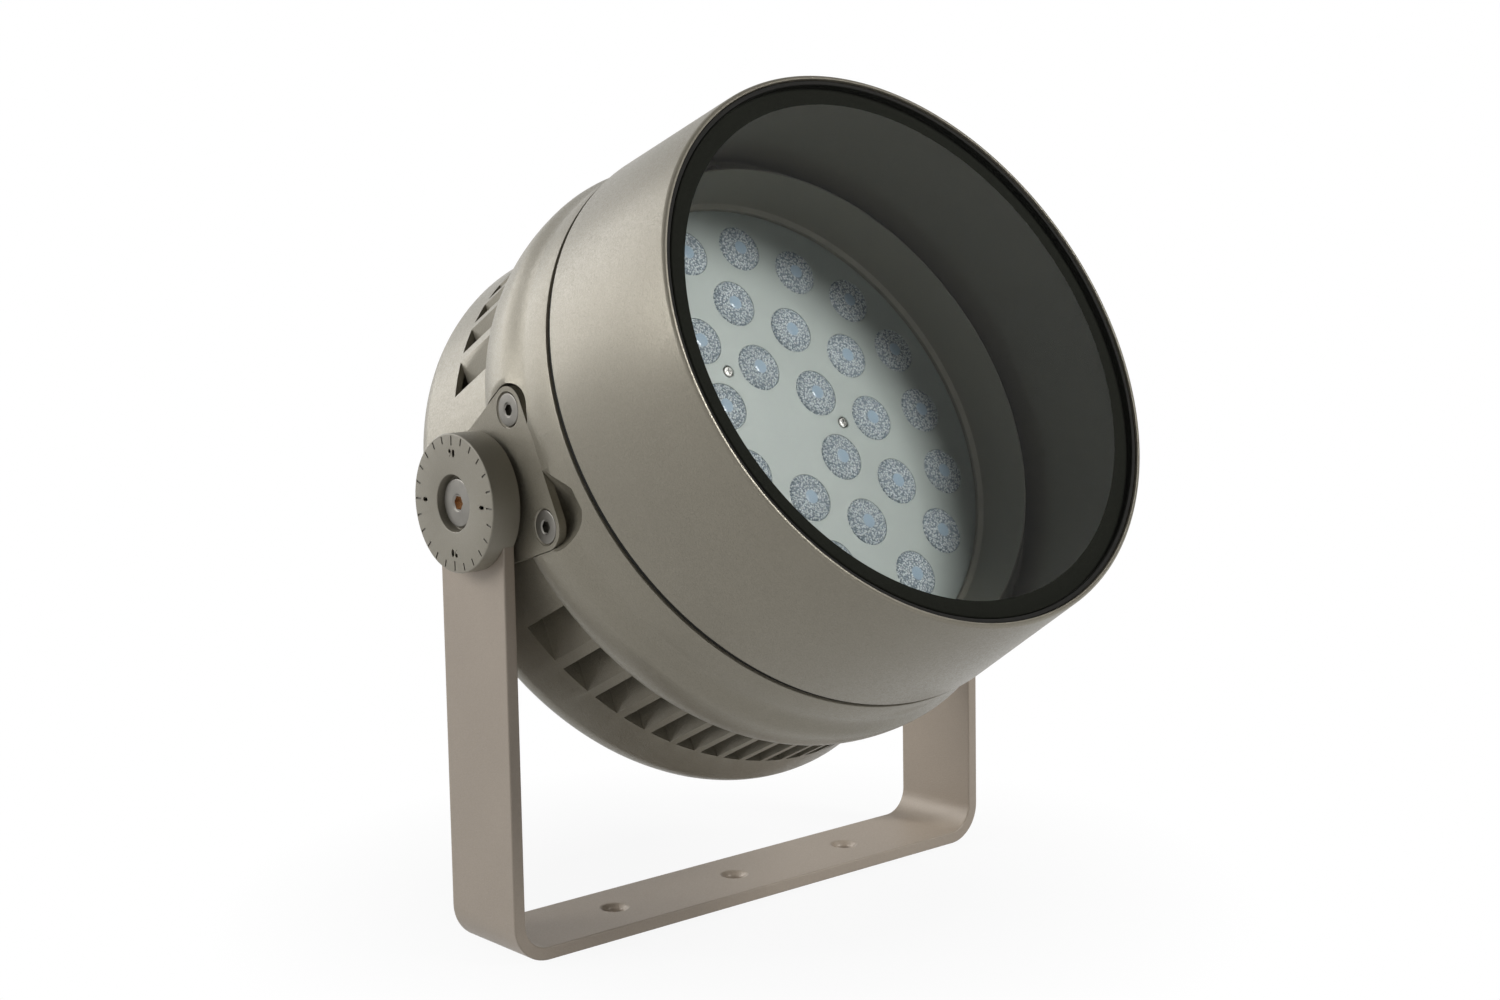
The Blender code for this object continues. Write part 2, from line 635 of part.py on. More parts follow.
def build_front_ring(head):
    """Barrel with rounded rim, glass seat, spigot and screw flange."""
    rounding = RIM_ROUNDING
    rim = arc((FRONT - rounding, RIM_RADIUS - rounding), rounding, 90, 0, 2)
    lip = arc((FRONT - rounding, OPENING_RADIUS + rounding), rounding, 0, -90, 2)
    flange_inner = WELL_RADIUS
    relief = COLLAR_FLANGE_RADIUS + GAP
    relief_depth = LEDGE + 2 * GAP + COLLAR_FLANGE_THICK
    profile = rim + lip
    profile += [(SEAT, OPENING_RADIUS), (SEAT, OPENING_RADIUS - SEAT_WIDTH),
                (SEAT - SEAT_THICK, OPENING_RADIUS - SEAT_WIDTH),
                (SEAT - 2 * SEAT_THICK, RIM_RADIUS - RING_WALL),
                (FLANGE, BARREL_RADIUS), (FLANGE, flange_inner),
                (relief_depth, flange_inner), (relief_depth, relief),
                (LEDGE + GAP, relief), (LEDGE + GAP, SPIGOT_RADIUS),
                (RING_SEAM, SPIGOT_RADIUS), (RING_SEAM, SEAM_RADIUS)]
    ring = turned_piece("front_ring", "paint", profile, head)
    bm = bmesh.new()
    for x, z in ring_screw_places():
        add_rod(bm, at(FLANGE + MARGIN, x, z), at(LEDGE - MARGIN, x, z), RING_SCREW[2] + GAP)
    shape(ring, bm)
    return ring


def build_seals_and_glass(head):
    """The glass in its L-shaped rubber ring, and the gasket in the seam."""
    glass_radius = OPENING_RADIUS - GASKET_LIP - 2 * GAP
    turned_piece("front_glass", "glass",
                 [(GLASS_BACK, 0), (GLASS_BACK, glass_radius),
                  (GLASS_FRONT, glass_radius), (GLASS_FRONT, 0)], head)
    outer = OPENING_RADIUS - GAP
    lip = outer - GASKET_LIP
    turned_piece("glass_gasket", "rubber",
                 [(SEAT + GAP, outer - GASKET_BED), (SEAT + GAP, outer),
                  (GLASS_FRONT - GAP, outer), (GLASS_FRONT - GAP, lip),
                  (GLASS_BACK - GAP, lip), (GLASS_BACK - GAP, outer - GASKET_BED)], head)
    seal = SEAM_RADIUS - SEAL_SET_BACK
    turned_piece("seam_gasket", "rubber",
                 [(HOUSING_SEAM + GAP, BORE_RADIUS), (HOUSING_SEAM + GAP, seal),
                  (RING_SEAM - GAP, seal), (RING_SEAM - GAP, BORE_RADIUS)], head)


# Head: collar, plate, lenses and board

def lens_places():
    """X and height of the 36 lenses: a hexagonal lattice in an outer circle."""
    places = []
    for k in range(6):
        corner = LENS_TURN + 60 * k
        places.append(clock(LENS_PITCH, corner + 30))
        places.append(clock(2 * LENS_PITCH, corner + 30))
        places.append(clock(math.sqrt(3) * LENS_PITCH, corner))
        places.append(clock(LENS_CORNER_CIRCLE, corner))
        places.append(clock(LENS_OUTER_CIRCLE, corner + 20))
        places.append(clock(LENS_OUTER_CIRCLE, corner + 40))
    return places


def plate_screw_places():
    """X and height of the screws in the LED plate."""
    step = 360 / PLATE_SCREW_COUNT
    return [clock(PLATE_SCREW_CIRCLE, LENS_TURN + step * k) for k in range(PLATE_SCREW_COUNT)]


def collar_radius(station):
    """Inner radius of the collar's cone at a station."""
    rear = LED_PLATE_FRONT + GAP + 2 * COLLAR_STEP
    share = (station - rear) / (COLLAR_LIP - rear)
    return COLLAR_REAR_RADIUS + share * (COLLAR_LIP_RADIUS - COLLAR_REAR_RADIUS)


def build_collar(head):
    """Thin cone with a stepped foot on the plate and a flange on the ledge."""
    foot = LED_PLATE_FRONT + GAP
    step = foot + COLLAR_STEP
    rear = step + COLLAR_STEP
    flange = LEDGE + GAP
    flange_front = flange + COLLAR_FLANGE_THICK
    profile = [(foot, COLLAR_FOOT_RADIUS), (step, COLLAR_FOOT_RADIUS),
               (step, COLLAR_STEP_RADIUS), (rear, COLLAR_STEP_RADIUS),
               (rear, COLLAR_REAR_RADIUS), (COLLAR_LIP, COLLAR_LIP_RADIUS),
               (COLLAR_LIP, COLLAR_LIP_RADIUS + COLLAR_WALL / 2),
               (flange_front, collar_radius(flange_front) + COLLAR_WALL),
               (flange_front, COLLAR_FLANGE_RADIUS), (flange, COLLAR_FLANGE_RADIUS),
               (flange, collar_radius(flange) + COLLAR_WALL),
               (foot, COLLAR_REAR_RADIUS + COLLAR_WALL)]
    return turned_piece("collar", "paint", profile, head)


def build_led_plate(head):
    """Round plate with 36 openings and three screw holes."""
    back = LED_PLATE_FRONT - LED_PLATE_THICK
    plate = turned_piece("led_plate", "plate",
                         [(back, 0), (back, LED_PLATE_RADIUS),
                          (LED_PLATE_FRONT, LED_PLATE_RADIUS), (LED_PLATE_FRONT, 0)], head)
    bm = bmesh.new()
    for x, z in lens_places():
        add_rod(bm, at(back - MARGIN, x, z), at(LED_PLATE_FRONT + MARGIN, x, z),
                LENS_OPENING_RADIUS)
    for x, z in plate_screw_places():
        add_rod(bm, at(back - MARGIN, x, z), at(LED_PLATE_FRONT + MARGIN, x, z),
                PLATE_SCREW[2] + GAP)
    shape(plate, bm)
    return plate


def build_lens_array(head):
    """Moulded sheet on a rim foot, with a lens rising into each opening."""
    foot = BOARD_FRONT + GAP
    rim = BOARD_RADIUS - LENS_SHEET_RIM
    sheet = turned_piece("lens_array", "lens",
                         [(SHEET_BACK, 0), (SHEET_BACK, rim), (foot, rim), (foot, BOARD_RADIUS),
                          (SHEET_FRONT, BOARD_RADIUS), (SHEET_FRONT, 0)], head)
    root = SHEET_FRONT - LENS_SHEET_THICK / 2
    bm = bmesh.new()
    for x, z in lens_places():
        add_rod(bm, at(root, x, z), at(LED_PLATE_FRONT - LENS_SET_BACK, x, z),
                LENS_FOOT_RADIUS, LENS_RADIUS)
    for x, z in plate_screw_places():
        add_rod(bm, at(root, x, z), at(LED_PLATE_FRONT - LED_PLATE_THICK - GAP, x, z),
                PLATE_POST_RADIUS)
    shape(sheet, bm, "UNION")
    bm = bmesh.new()
    for x, z in plate_screw_places():
        add_rod(bm, at(SHEET_BACK - MARGIN, x, z), at(LED_PLATE_FRONT, x, z),
                PLATE_SCREW[2] + GAP)
    shape(sheet, bm)
    return sheet


def build_led_board(head):
    """Metal-core board with a hole for the wires."""
    board = turned_piece("led_board", "board",
                         [(BOARD_BACK, FEED_RADIUS), (BOARD_BACK, BOARD_RADIUS),
                          (BOARD_FRONT, BOARD_RADIUS), (BOARD_FRONT, FEED_RADIUS)], head)
    bm = bmesh.new()
    for x, z in plate_screw_places():
        add_rod(bm, at(BOARD_BACK - MARGIN, x, z), at(BOARD_FRONT + MARGIN, x, z),
                PLATE_SCREW[2] + GAP)
    shape(board, bm)
    return board


# Head: trunnion plates and pivot

def build_trunnion(name, side, head):
    """Three-lobed plate with countersunk holes and the pivot's bore."""
    inner = POCKET_FLOOR + GAP
    bm = bmesh.new()
    add_side_prism(bm, pocket_outline(0), side, inner, TRUNNION_FACE)
    plate = piece(name, "paint", bm, head)
    bm = bmesh.new()
    add_rod(bm, at(0, side * (inner - MARGIN)), at(0, side * (TRUNNION_FACE + MARGIN)), BOLT_BORE,
            segments=BOLT_SEGMENTS)
    slope = (EAR_SCREW_HEAD_RADIUS - EAR_SCREW_RADIUS) / EAR_SCREW_HEAD_DEPTH
    hole = EAR_SCREW_RADIUS + GAP
    for station, up in EAR_PLACES:
        start = inner - MARGIN
        cone = TRUNNION_FACE - EAR_SCREW_HEAD_DEPTH
        profile = [(start, 0), (start, hole), (cone, hole),
                   (TRUNNION_FACE + MARGIN, hole + slope * (EAR_SCREW_HEAD_DEPTH + MARGIN)),
                   (TRUNNION_FACE + MARGIN, 0)]
        add_turned(bm, profile, at(station, 0, up), Vector((side, 0, 0)), SMALL_SEGMENTS)
    shape(plate, bm)
    return plate


def build_ear_screw(name, side, place, head):
    """Countersunk socket screw, flush with the trunnion plate."""
    station, up = place
    face = TRUNNION_FACE - GAP
    origin = at(station, 0, up)
    out = Vector((side, 0, 0))
    tip = POCKET_FLOOR - EAR_SCREW_REACH
    profile = [(tip, 0), (tip, EAR_SCREW_RADIUS), (face - EAR_SCREW_HEAD_DEPTH, EAR_SCREW_RADIUS),
               (face, EAR_SCREW_HEAD_RADIUS), (face, 0)]
    bm = bmesh.new()
    add_turned(bm, profile, origin, out, SMALL_SEGMENTS)
    screw = piece(name, "steel", bm, head)
    bm = bmesh.new()
    add_rod(bm, origin + out * (face - EAR_SCREW_SOCKET_DEPTH), origin + out * (face + MARGIN),
            EAR_SCREW_SOCKET_RADIUS, segments=6)
    shape(screw, bm)
    return screw


def build_pivot_bolt(name, side, head):
    """Low-head socket bolt on the tilt axis, through cap, arm and plate."""
    out = Vector((side, 0, 0))
    seat = DIAL_FACE - RECESS_DEPTH + GAP
    face = seat + BOLT_HEAD_THICK
    tip = POCKET_FLOOR - BOLT_REACH
    profile = [(tip, 0), (tip, BOLT_RADIUS), (seat, BOLT_RADIUS), (seat, BOLT_HEAD_RADIUS),
               (face - DIAL_CHAMFER, BOLT_HEAD_RADIUS),
               (face, BOLT_HEAD_RADIUS - DIAL_CHAMFER), (face, 0)]
    bm = bmesh.new()
    add_turned(bm, profile, ZERO, out, BOLT_SEGMENTS)
    bolt = piece(name, "steel", bm, head)
    bm = bmesh.new()
    add_rod(bm, out * (face - BOLT_SOCKET_DEPTH), out * (face + MARGIN),
            BOLT_SOCKET_RADIUS, segments=6)
    shape(bolt, bm)
    return bolt


# Head: screws along the lamp's axis

def build_screw(name, place, seat, facing, sizes, head):
    """Pan head screw. It sits on the station seat with its head facing the
    front (1) or the rear (-1)."""
    head_radius, head_thick, shank_radius, grip = sizes
    axis = AHEAD * facing
    base = seat * facing + GAP
    profile = [(seat * facing - grip, 0), (seat * facing - grip, shank_radius),
               (base, shank_radius), (base, head_radius),
               (base + head_thick, head_radius * PAN_HEAD_TAPER), (base + head_thick, 0)]
    bm = bmesh.new()
    add_turned(bm, profile, at(0, *place), axis, SMALL_SEGMENTS)
    return piece(name, "steel", bm, head)


# Head: rear cover and driver chamber

def build_rear_cover(head):
    """Cover with a raised middle, holes for its screws, gland and breather."""
    edge = COVER_EDGE
    raise_in = COVER_RAISE_RADIUS - COVER_RAISE
    raise_out = COVER_RAISE_RADIUS + COVER_RAISE
    profile = [(RAISED_SEAT, 0), (RAISED_SEAT, raise_in), (COVER_SEAT, COVER_RAISE_RADIUS),
               (COVER_SEAT, REAR_RADIUS - GAP), (COVER_BACK + edge, REAR_RADIUS - GAP),
               (COVER_BACK, REAR_RADIUS - GAP - edge), (COVER_BACK, raise_out),
               (RAISED_BACK, COVER_RAISE_RADIUS), (RAISED_BACK, 0)]
    cover = turned_piece("rear_cover", "paint", profile, head)
    bm = bmesh.new()
    for number in range(COVER_SCREW_COUNT):
        x, z = clock(COVER_SCREW_CIRCLE, 360 / COVER_SCREW_COUNT * number)
        add_rod(bm, at(COVER_SEAT + MARGIN, x, z), at(COVER_BACK - MARGIN, x, z),
                COVER_SCREW[2] + GAP)
    for place, radius in ((GLAND_PLACE, GLAND_THREAD_RADIUS),
                          (BREATHER_PLACE, BREATHER_THREAD_RADIUS)):
        add_rod(bm, at(RAISED_SEAT + MARGIN, *place), at(RAISED_BACK - MARGIN, *place),
                radius + GAP)
    shape(cover, bm)
    gasket_inner = (COVER_SCREW_CIRCLE + COVER_BOSS_RADIUS + GAP) / FACET_SAG
    turned_piece("rear_gasket", "rubber",
                 [(COVER_SEAT + GAP, gasket_inner), (COVER_SEAT + GAP, REAR_RADIUS - GAP),
                  (REAR - GAP, REAR_RADIUS - GAP), (REAR - GAP, gasket_inner)], head)
    return cover


def build_driver_chamber(head):
    """Sealed pan between fins and cover, with driver, terminals and grommet."""
    flange_rear = COVER_SEAT + DRIVER_GASKET_THICK + 2 * GAP
    flange_front = flange_rear + PAN_FLANGE_THICK
    front = FIN_END - GAP
    floor = front - PAN_WALL
    inner = PAN_RADIUS - PAN_WALL
    pan = turned_piece("driver_pan", "pan",
                       [(floor, 0), (floor, inner), (flange_rear, inner),
                        (flange_rear, PAN_FLANGE_RADIUS), (flange_front, PAN_FLANGE_RADIUS),
                        (flange_front, PAN_RADIUS), (front, PAN_RADIUS), (front, 0)], head)
    grommet_radius = FEED_RADIUS + GROMMET_WALL
    bm = bmesh.new()
    add_rod(bm, at(front + MARGIN), at(floor - MARGIN), grommet_radius + GAP)
    shape(pan, bm)
    seal = COVER_RAISE_RADIUS + DRIVER_GASKET_INSET
    turned_piece("driver_gasket", "rubber",
                 [(COVER_SEAT + GAP, seal), (COVER_SEAT + GAP, PAN_FLANGE_RADIUS),
                  (flange_rear - GAP, PAN_FLANGE_RADIUS), (flange_rear - GAP, seal)], head)
    bore = FEED_RADIUS - GROMMET_WALL
    lip = grommet_radius + GROMMET_LIP
    lip_rear = floor - GAP - GROMMET_LIP_THICK
    bm = bmesh.new()
    add_turned(bm, [(front, bore), (front, grommet_radius), (floor - GAP, grommet_radius),
                    (floor - GAP, lip), (lip_rear, lip), (lip_rear, bore)],
               segments=SMALL_SEGMENTS)
    piece("feed_grommet", "rubber", bm, head)
    start = floor - GAP
    half = PAN_RADIUS - DRIVER_SIDE_ROOM
    top = -lip - DRIVER_ROOM
    bm = bmesh.new()
    add_box(bm, at(start, -half, top - DRIVER_HEIGHT), at(start - DRIVER_THICK, half, top))
    piece("driver", "driver", bm, head)
    bm = bmesh.new()
    add_box(bm, at(start, -TERMINAL_WIDTH / 2, TERMINAL_RISE - TERMINAL_HEIGHT / 2),
            at(start - TERMINAL_THICK, TERMINAL_WIDTH / 2, TERMINAL_RISE + TERMINAL_HEIGHT / 2))
    piece("terminal_block", "terminal", bm, head)


def build_gland(head):
    """Cable gland: threaded body, locknut, clamping cap and blanking plug."""
    origin = at(0, *GLAND_PLACE)
    back = Vector((0, 1, 0))
    face = -RAISED_BACK + GAP
    tail = face + GLAND_HEX_THICK + GLAND_TAIL
    bore = GLAND_BORE_RADIUS
    nut_face = -RAISED_SEAT - GAP
    inside = nut_face - LOCKNUT_THICK - GLAND_END_ROOM
    bm = bmesh.new()
    add_turned(bm, [(inside, bore), (inside, GLAND_THREAD_RADIUS), (face, GLAND_THREAD_RADIUS),
                    (face, GLAND_TAIL_RADIUS), (tail, GLAND_TAIL_RADIUS), (tail, bore)],
               origin, back, SMALL_SEGMENTS)
    body = piece("gland_body", "brass", bm, head)
    bm = bmesh.new()
    add_turned(bm, [(face + GAP, GLAND_THREAD_RADIUS), (face + GAP, GLAND_HEX_RADIUS),
                    (face + GLAND_HEX_THICK, GLAND_HEX_RADIUS),
                    (face + GLAND_HEX_THICK, GLAND_THREAD_RADIUS)], origin, back, 6)
    shape(body, bm, "UNION")
    bm = bmesh.new()
    add_turned(bm, [(nut_face - LOCKNUT_THICK, GLAND_THREAD_RADIUS + GAP),
                    (nut_face - LOCKNUT_THICK, GLAND_HEX_RADIUS), (nut_face, GLAND_HEX_RADIUS),
                    (nut_face, GLAND_THREAD_RADIUS + GAP)], origin, back, SMALL_SEGMENTS)
    piece("gland_locknut", "brass", bm, head)
    start = face + GLAND_HEX_THICK + GAP
    end = start + GLAND_CAP_LENGTH
    outer = GLAND_TAIL_RADIUS + GLAND_CAP_WALL
    bm = bmesh.new()
    crown = outer - GLAND_CAP_TAPER
    add_turned(bm, [(start, GLAND_TAIL_RADIUS + GAP), (start, outer),
                    (end - GLAND_CAP_SHOULDER, outer), (end - GLAND_CAP_CROWN, crown),
                    (end, crown - GLAND_CAP_CROWN), (end, bore + GAP),
                    (end - GLAND_CAP_COLLET, bore + GAP), (tail + GAP, GLAND_TAIL_RADIUS + GAP)],
               origin, back, SMALL_SEGMENTS)
    piece("gland_cap", "brass", bm, head)
    bm = bmesh.new()
    plug_end = end - GLAND_PLUG_SET_BACK
    add_turned(bm, [(inside, 0), (inside, bore - GAP), (plug_end, bore - GAP), (plug_end, 0)],
               origin, back, SMALL_SEGMENTS)
    piece("gland_plug", "rubber", bm, head)

    origin = at(0, *BREATHER_PLACE)
    bm = bmesh.new()
    tip = -RAISED_SEAT - BREATHER_REACH
    top = face + BREATHER_THICK
    add_turned(bm, [(tip, 0), (tip, BREATHER_THREAD_RADIUS), (face, BREATHER_THREAD_RADIUS),
                    (face, BREATHER_RADIUS), (top - BREATHER_CHAMFER, BREATHER_RADIUS),
                    (top, BREATHER_RADIUS - BREATHER_CHAMFER), (top, 0)],
               origin, back, SMALL_SEGMENTS)
    piece("vent_plug", "rubber", bm, head)


# Assembly

def build_lamp():
    """The yoke stands still, and all the rest hangs on the head's empty."""
    clear_scene()
    head = bpy.data.objects.new("head", None)
    bpy.context.scene.collection.objects.link(head)
    head.location = (0, 0, PIVOT_HEIGHT)
    head.rotation_euler = (-TILT, 0, 0)

    build_yoke()
    build_rear_housing(head)
    build_front_ring(head)
    build_seals_and_glass(head)
    build_collar(head)
    build_led_plate(head)
    build_lens_array(head)
    build_led_board(head)
    build_rear_cover(head)
    build_driver_chamber(head)
    build_gland(head)
    for word, side in (("left", -1), ("right", 1)):
        build_goniometer("goniometer_" + word, side)
        build_washer("friction_washer_" + word, side)
        build_trunnion("trunnion_" + word, side, head)
        build_pivot_bolt("pivot_bolt_" + word, side, head)
        for number, place in enumerate(EAR_PLACES, 1):
            build_ear_screw(f"trunnion_screw_{word}_{number}", side, place, head)
    for number, place in enumerate(ring_screw_places(), 1):
        build_screw(f"ring_screw_{number}", place, FLANGE, 1, RING_SCREW, head)
    for number, place in enumerate(plate_screw_places(), 1):
        build_screw(f"plate_screw_{number}", place, LED_PLATE_FRONT, 1, PLATE_SCREW, head)
    for number in range(COVER_SCREW_COUNT):
        place = clock(COVER_SCREW_CIRCLE, 360 / COVER_SCREW_COUNT * number)
        build_screw(f"cover_screw_{number + 1}", place, COVER_BACK, -1, COVER_SCREW, head)


build_lamp()
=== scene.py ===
import json
import math

import bmesh
import bpy
from mathutils import Matrix, Vector

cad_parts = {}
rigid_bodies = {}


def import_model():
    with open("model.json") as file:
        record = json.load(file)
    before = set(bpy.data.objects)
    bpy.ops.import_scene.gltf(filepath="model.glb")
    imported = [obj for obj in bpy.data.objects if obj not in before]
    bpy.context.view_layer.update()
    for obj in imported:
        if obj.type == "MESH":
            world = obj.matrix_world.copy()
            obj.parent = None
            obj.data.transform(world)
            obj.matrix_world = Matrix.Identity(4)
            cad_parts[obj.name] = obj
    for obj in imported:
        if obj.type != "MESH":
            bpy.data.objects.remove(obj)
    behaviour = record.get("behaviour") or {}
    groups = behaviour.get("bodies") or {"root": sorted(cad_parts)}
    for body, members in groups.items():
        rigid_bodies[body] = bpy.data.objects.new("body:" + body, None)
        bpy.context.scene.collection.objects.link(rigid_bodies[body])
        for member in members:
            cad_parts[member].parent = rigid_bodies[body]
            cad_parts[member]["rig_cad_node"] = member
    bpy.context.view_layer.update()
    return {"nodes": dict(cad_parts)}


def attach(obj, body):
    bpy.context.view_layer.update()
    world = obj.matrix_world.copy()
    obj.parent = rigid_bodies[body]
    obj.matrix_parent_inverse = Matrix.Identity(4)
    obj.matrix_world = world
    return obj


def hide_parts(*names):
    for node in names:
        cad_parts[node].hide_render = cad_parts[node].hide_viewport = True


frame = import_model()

# The yoke: one 50 x 6 mm flat steel bar, bent twice into a U. Its arms end in
# half rounds, its base has three countersunk holes, and all of it is powder
# coated in a warm metallic grey.
gap = 0.0003
half_bar = 0.025
arm_outer = 0.1515
arm_inner = 0.1455
bend_inside = 0.013
pivot_height = 0.210
pivot_hole = 0.0063
fixing_hole = 0.0045
fixing_pitch = 0.076
pivot = Vector((0, 0, pivot_height))


def arc_points(centre, radius, start, end, steps):
    points = []
    for step in range(steps + 1):
        angle = math.radians(start + (end - start) * step / steps)
        points.append((centre[0] + radius * math.cos(angle), centre[1] + radius * math.sin(angle)))
    return points


def add_slab(bm, outline, depth):
    face = bm.faces.new([bm.verts.new(point) for point in outline])
    grown = bmesh.ops.extrude_face_region(bm, geom=[face])["geom"]
    moved = [item for item in grown if isinstance(item, bmesh.types.BMVert)]
    bmesh.ops.translate(bm, vec=depth, verts=moved)


def add_turned(bm, profile, steps, origin, axis):
    axis = Vector(axis).normalized()
    origin = Vector(origin)
    side = Vector((0, 0, 1)) if abs(axis.z) < 0.5 else Vector((1, 0, 0))
    other = axis.cross(side)
    rings = []
    for h, r in profile:
        foot = origin + axis * h
        if r < 1e-7:
            rings.append([bm.verts.new(foot)] * steps)
            continue
        ring = []
        for step in range(steps):
            angle = 2 * math.pi * step / steps
            ring.append(bm.verts.new(foot + (side * math.cos(angle) + other * math.sin(angle)) * r))
        rings.append(ring)
    pairs = list(zip(rings, rings[1:]))
    if profile[0][1] > 1e-7:
        pairs.append((rings[-1], rings[0]))
    for low, high in pairs:
        for step in range(steps):
            after = (step + 1) % steps
            corners = [low[step], low[after], high[after], high[step]]
            corners = [v for k, v in enumerate(corners) if v not in corners[:k]]
            if len(corners) > 2:
                bm.faces.new(corners)


def make_piece(name, bm, place=Matrix.Identity(4)):
    bmesh.ops.recalc_face_normals(bm, faces=bm.faces[:])
    mesh = bpy.data.meshes.new(name)
    bm.to_mesh(mesh)
    bm.free()
    piece = bpy.data.objects.new(name, mesh)
    bpy.context.scene.collection.objects.link(piece)
    piece.matrix_world = place
    return piece


def carve(piece, bm, operation="DIFFERENCE"):
    tool = make_piece(piece.name + "_tool", bm, piece.matrix_world)
    modifier = piece.modifiers.new("carve", "BOOLEAN")
    modifier.operation = operation
    modifier.object = tool
    modifier.solver = "EXACT"
    bpy.context.view_layer.update()
    graph = bpy.context.evaluated_depsgraph_get()
    carved = bpy.data.meshes.new_from_object(piece.evaluated_get(graph))
    piece.modifiers.clear()
    piece.data = carved
    bpy.data.objects.remove(tool)


def soften(piece, width, steps=2):
    modifier = piece.modifiers.new("edge_rounding", "BEVEL")
    modifier.width = width
    modifier.segments = steps
    modifier.limit_method = "ANGLE"
    modifier.angle_limit = math.radians(32)


def dress(piece, body, slot, materials, *nodes):
    mesh = piece.data
    if piece.get("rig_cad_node") is None:
        mesh.transform(piece.matrix_world)
        piece.matrix_world = Matrix.Identity(4)
        mesh.shade_smooth()
        mesh.set_sharp_from_angle(angle=math.radians(32))
        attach(piece, body)
        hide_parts(*nodes)
    mesh.materials.clear()
    for material in materials:
        mesh.materials.append(material)
    return piece


def set_sockets(node, values):
    for name, value in dict(values).items():
        node.inputs[name].default_value = value
    return node


def add_node(tree, kind, settings=(), values=()):
    node = tree.nodes.new("ShaderNode" + kind)
    for name, value in dict(settings).items():
        setattr(node, name, value)
    return set_sockets(node, values)


def join(source, out, target, into):
    source.id_data.links.new(source.outputs[out], target.inputs[into])


def start_material(name, values):
    material = bpy.data.materials.new(name)
    material.use_nodes = True
    tree = material.node_tree
    return material, tree, set_sockets(tree.nodes["Principled BSDF"], values)


def start_group(name, inputs, outputs):
    group = bpy.data.node_groups.new(name, "ShaderNodeTree")
    for label, kind, value in inputs:
        socket = group.interface.new_socket(label, in_out="INPUT", socket_type=kind)
        socket.default_value = value
    for label, kind in outputs:
        group.interface.new_socket(label, in_out="OUTPUT", socket_type=kind)
    return group, group.nodes.new("NodeGroupInput"), group.nodes.new("NodeGroupOutput")


FLOAT = "NodeSocketFloat"
COLOUR = "NodeSocketColor"

# Powder coat, as a group: flakes of metal that differ in brightness, orange
# peel and a slow drift of the colour, all from the piece's own coordinates.
powder_coat, coat_in, coat_out = start_group("powder_coat",
    [("Colour", COLOUR, (0.4, 0.37, 0.32, 1)), ("Flake Size", FLOAT, 0.0007),
     ("Flake Contrast", FLOAT, 0.2), ("Roughness", FLOAT, 0.4), ("Peel Size", FLOAT, 0.0011)],
    [("Colour", COLOUR), ("Roughness", FLOAT), ("Height", FLOAT)])
tree = powder_coat
place = add_node(tree, "TexCoord")
flake_scale = add_node(tree, "Math", {"operation": "DIVIDE"}, {0: 1.0})
peel_scale = add_node(tree, "Math", {"operation": "DIVIDE"}, {0: 1.0})
flakes = add_node(tree, "TexVoronoi")
flake_value = add_node(tree, "SeparateColor")
flake_map = add_node(tree, "MapRange")
low = add_node(tree, "Math", {"operation": "SUBTRACT"}, {0: 1.0})
high = add_node(tree, "Math", {"operation": "ADD"}, {0: 1.0})
drift = add_node(tree, "TexNoise", (), {"Scale": 14.0, "Detail": 3.0})
drift_map = add_node(tree, "MapRange", (),
        {"From Min": 0.3, "From Max": 0.7, "To Min": 0.96, "To Max": 1.04})
both = add_node(tree, "Math", {"operation": "MULTIPLY"})
tinted = add_node(tree, "VectorMath", {"operation": "SCALE"})
peel = add_node(tree, "TexNoise")
rough_map = add_node(tree, "MapRange", (), {"To Min": 0.07, "To Max": -0.08})
rough_sum = add_node(tree, "Math", {"operation": "ADD", "use_clamp": True})
height_mix = add_node(tree, "Math", {"operation": "MULTIPLY_ADD"}, {1: 0.30})
join(coat_in, "Flake Size", flake_scale, 1)
join(coat_in, "Peel Size", peel_scale, 1)
join(place, "Object", flakes, "Vector")
join(flake_scale, 0, flakes, "Scale")
join(flakes, "Color", flake_value, 0)
join(coat_in, "Flake Contrast", low, 1)
join(coat_in, "Flake Contrast", high, 1)
join(flake_value, "Red", flake_map, "Value")
join(low, 0, flake_map, "To Min")
join(high, 0, flake_map, "To Max")
join(place, "Object", drift, "Vector")
join(drift, "Fac", drift_map, "Value")
join(flake_map, 0, both, 0)
join(drift_map, 0, both, 1)
join(coat_in, "Colour", tinted, 0)
join(both, 0, tinted, "Scale")
join(tinted, 0, coat_out, "Colour")
join(place, "Object", peel, "Vector")
join(peel_scale, 0, peel, "Scale")
join(flake_value, "Green", rough_map, "Value")
join(rough_map, 0, rough_sum, 0)
join(coat_in, "Roughness", rough_sum, 1)
join(rough_sum, 0, coat_out, "Roughness")
join(peel, "Fac", height_mix, 0)
join(flake_value, "Blue", height_mix, 2)
join(height_mix, 0, coat_out, "Height")


def coated(name, colour, roughness, metallic, contrast=0.05, peel_depth=0.00005, flake=0.0005):
    material, tree, shader = start_material(name, {"Metallic": metallic, "IOR": 1.55})
    coat = add_node(tree, "Group", {"node_tree": powder_coat},
            {"Colour": (*colour, 1), "Roughness": roughness,
            "Flake Contrast": contrast, "Flake Size": flake})
    bump = add_node(tree, "Bump", (), {"Distance": peel_depth})
    join(coat, "Colour", shader, "Base Color")
    join(coat, "Roughness", shader, "Roughness")
    join(coat, "Height", bump, "Height")
    join(bump, "Normal", shader, "Normal")
    return material


yoke_paint = coated("yoke_paint", (0.385, 0.325, 0.262), 0.45, 0.10, 0.03, 0.00003)

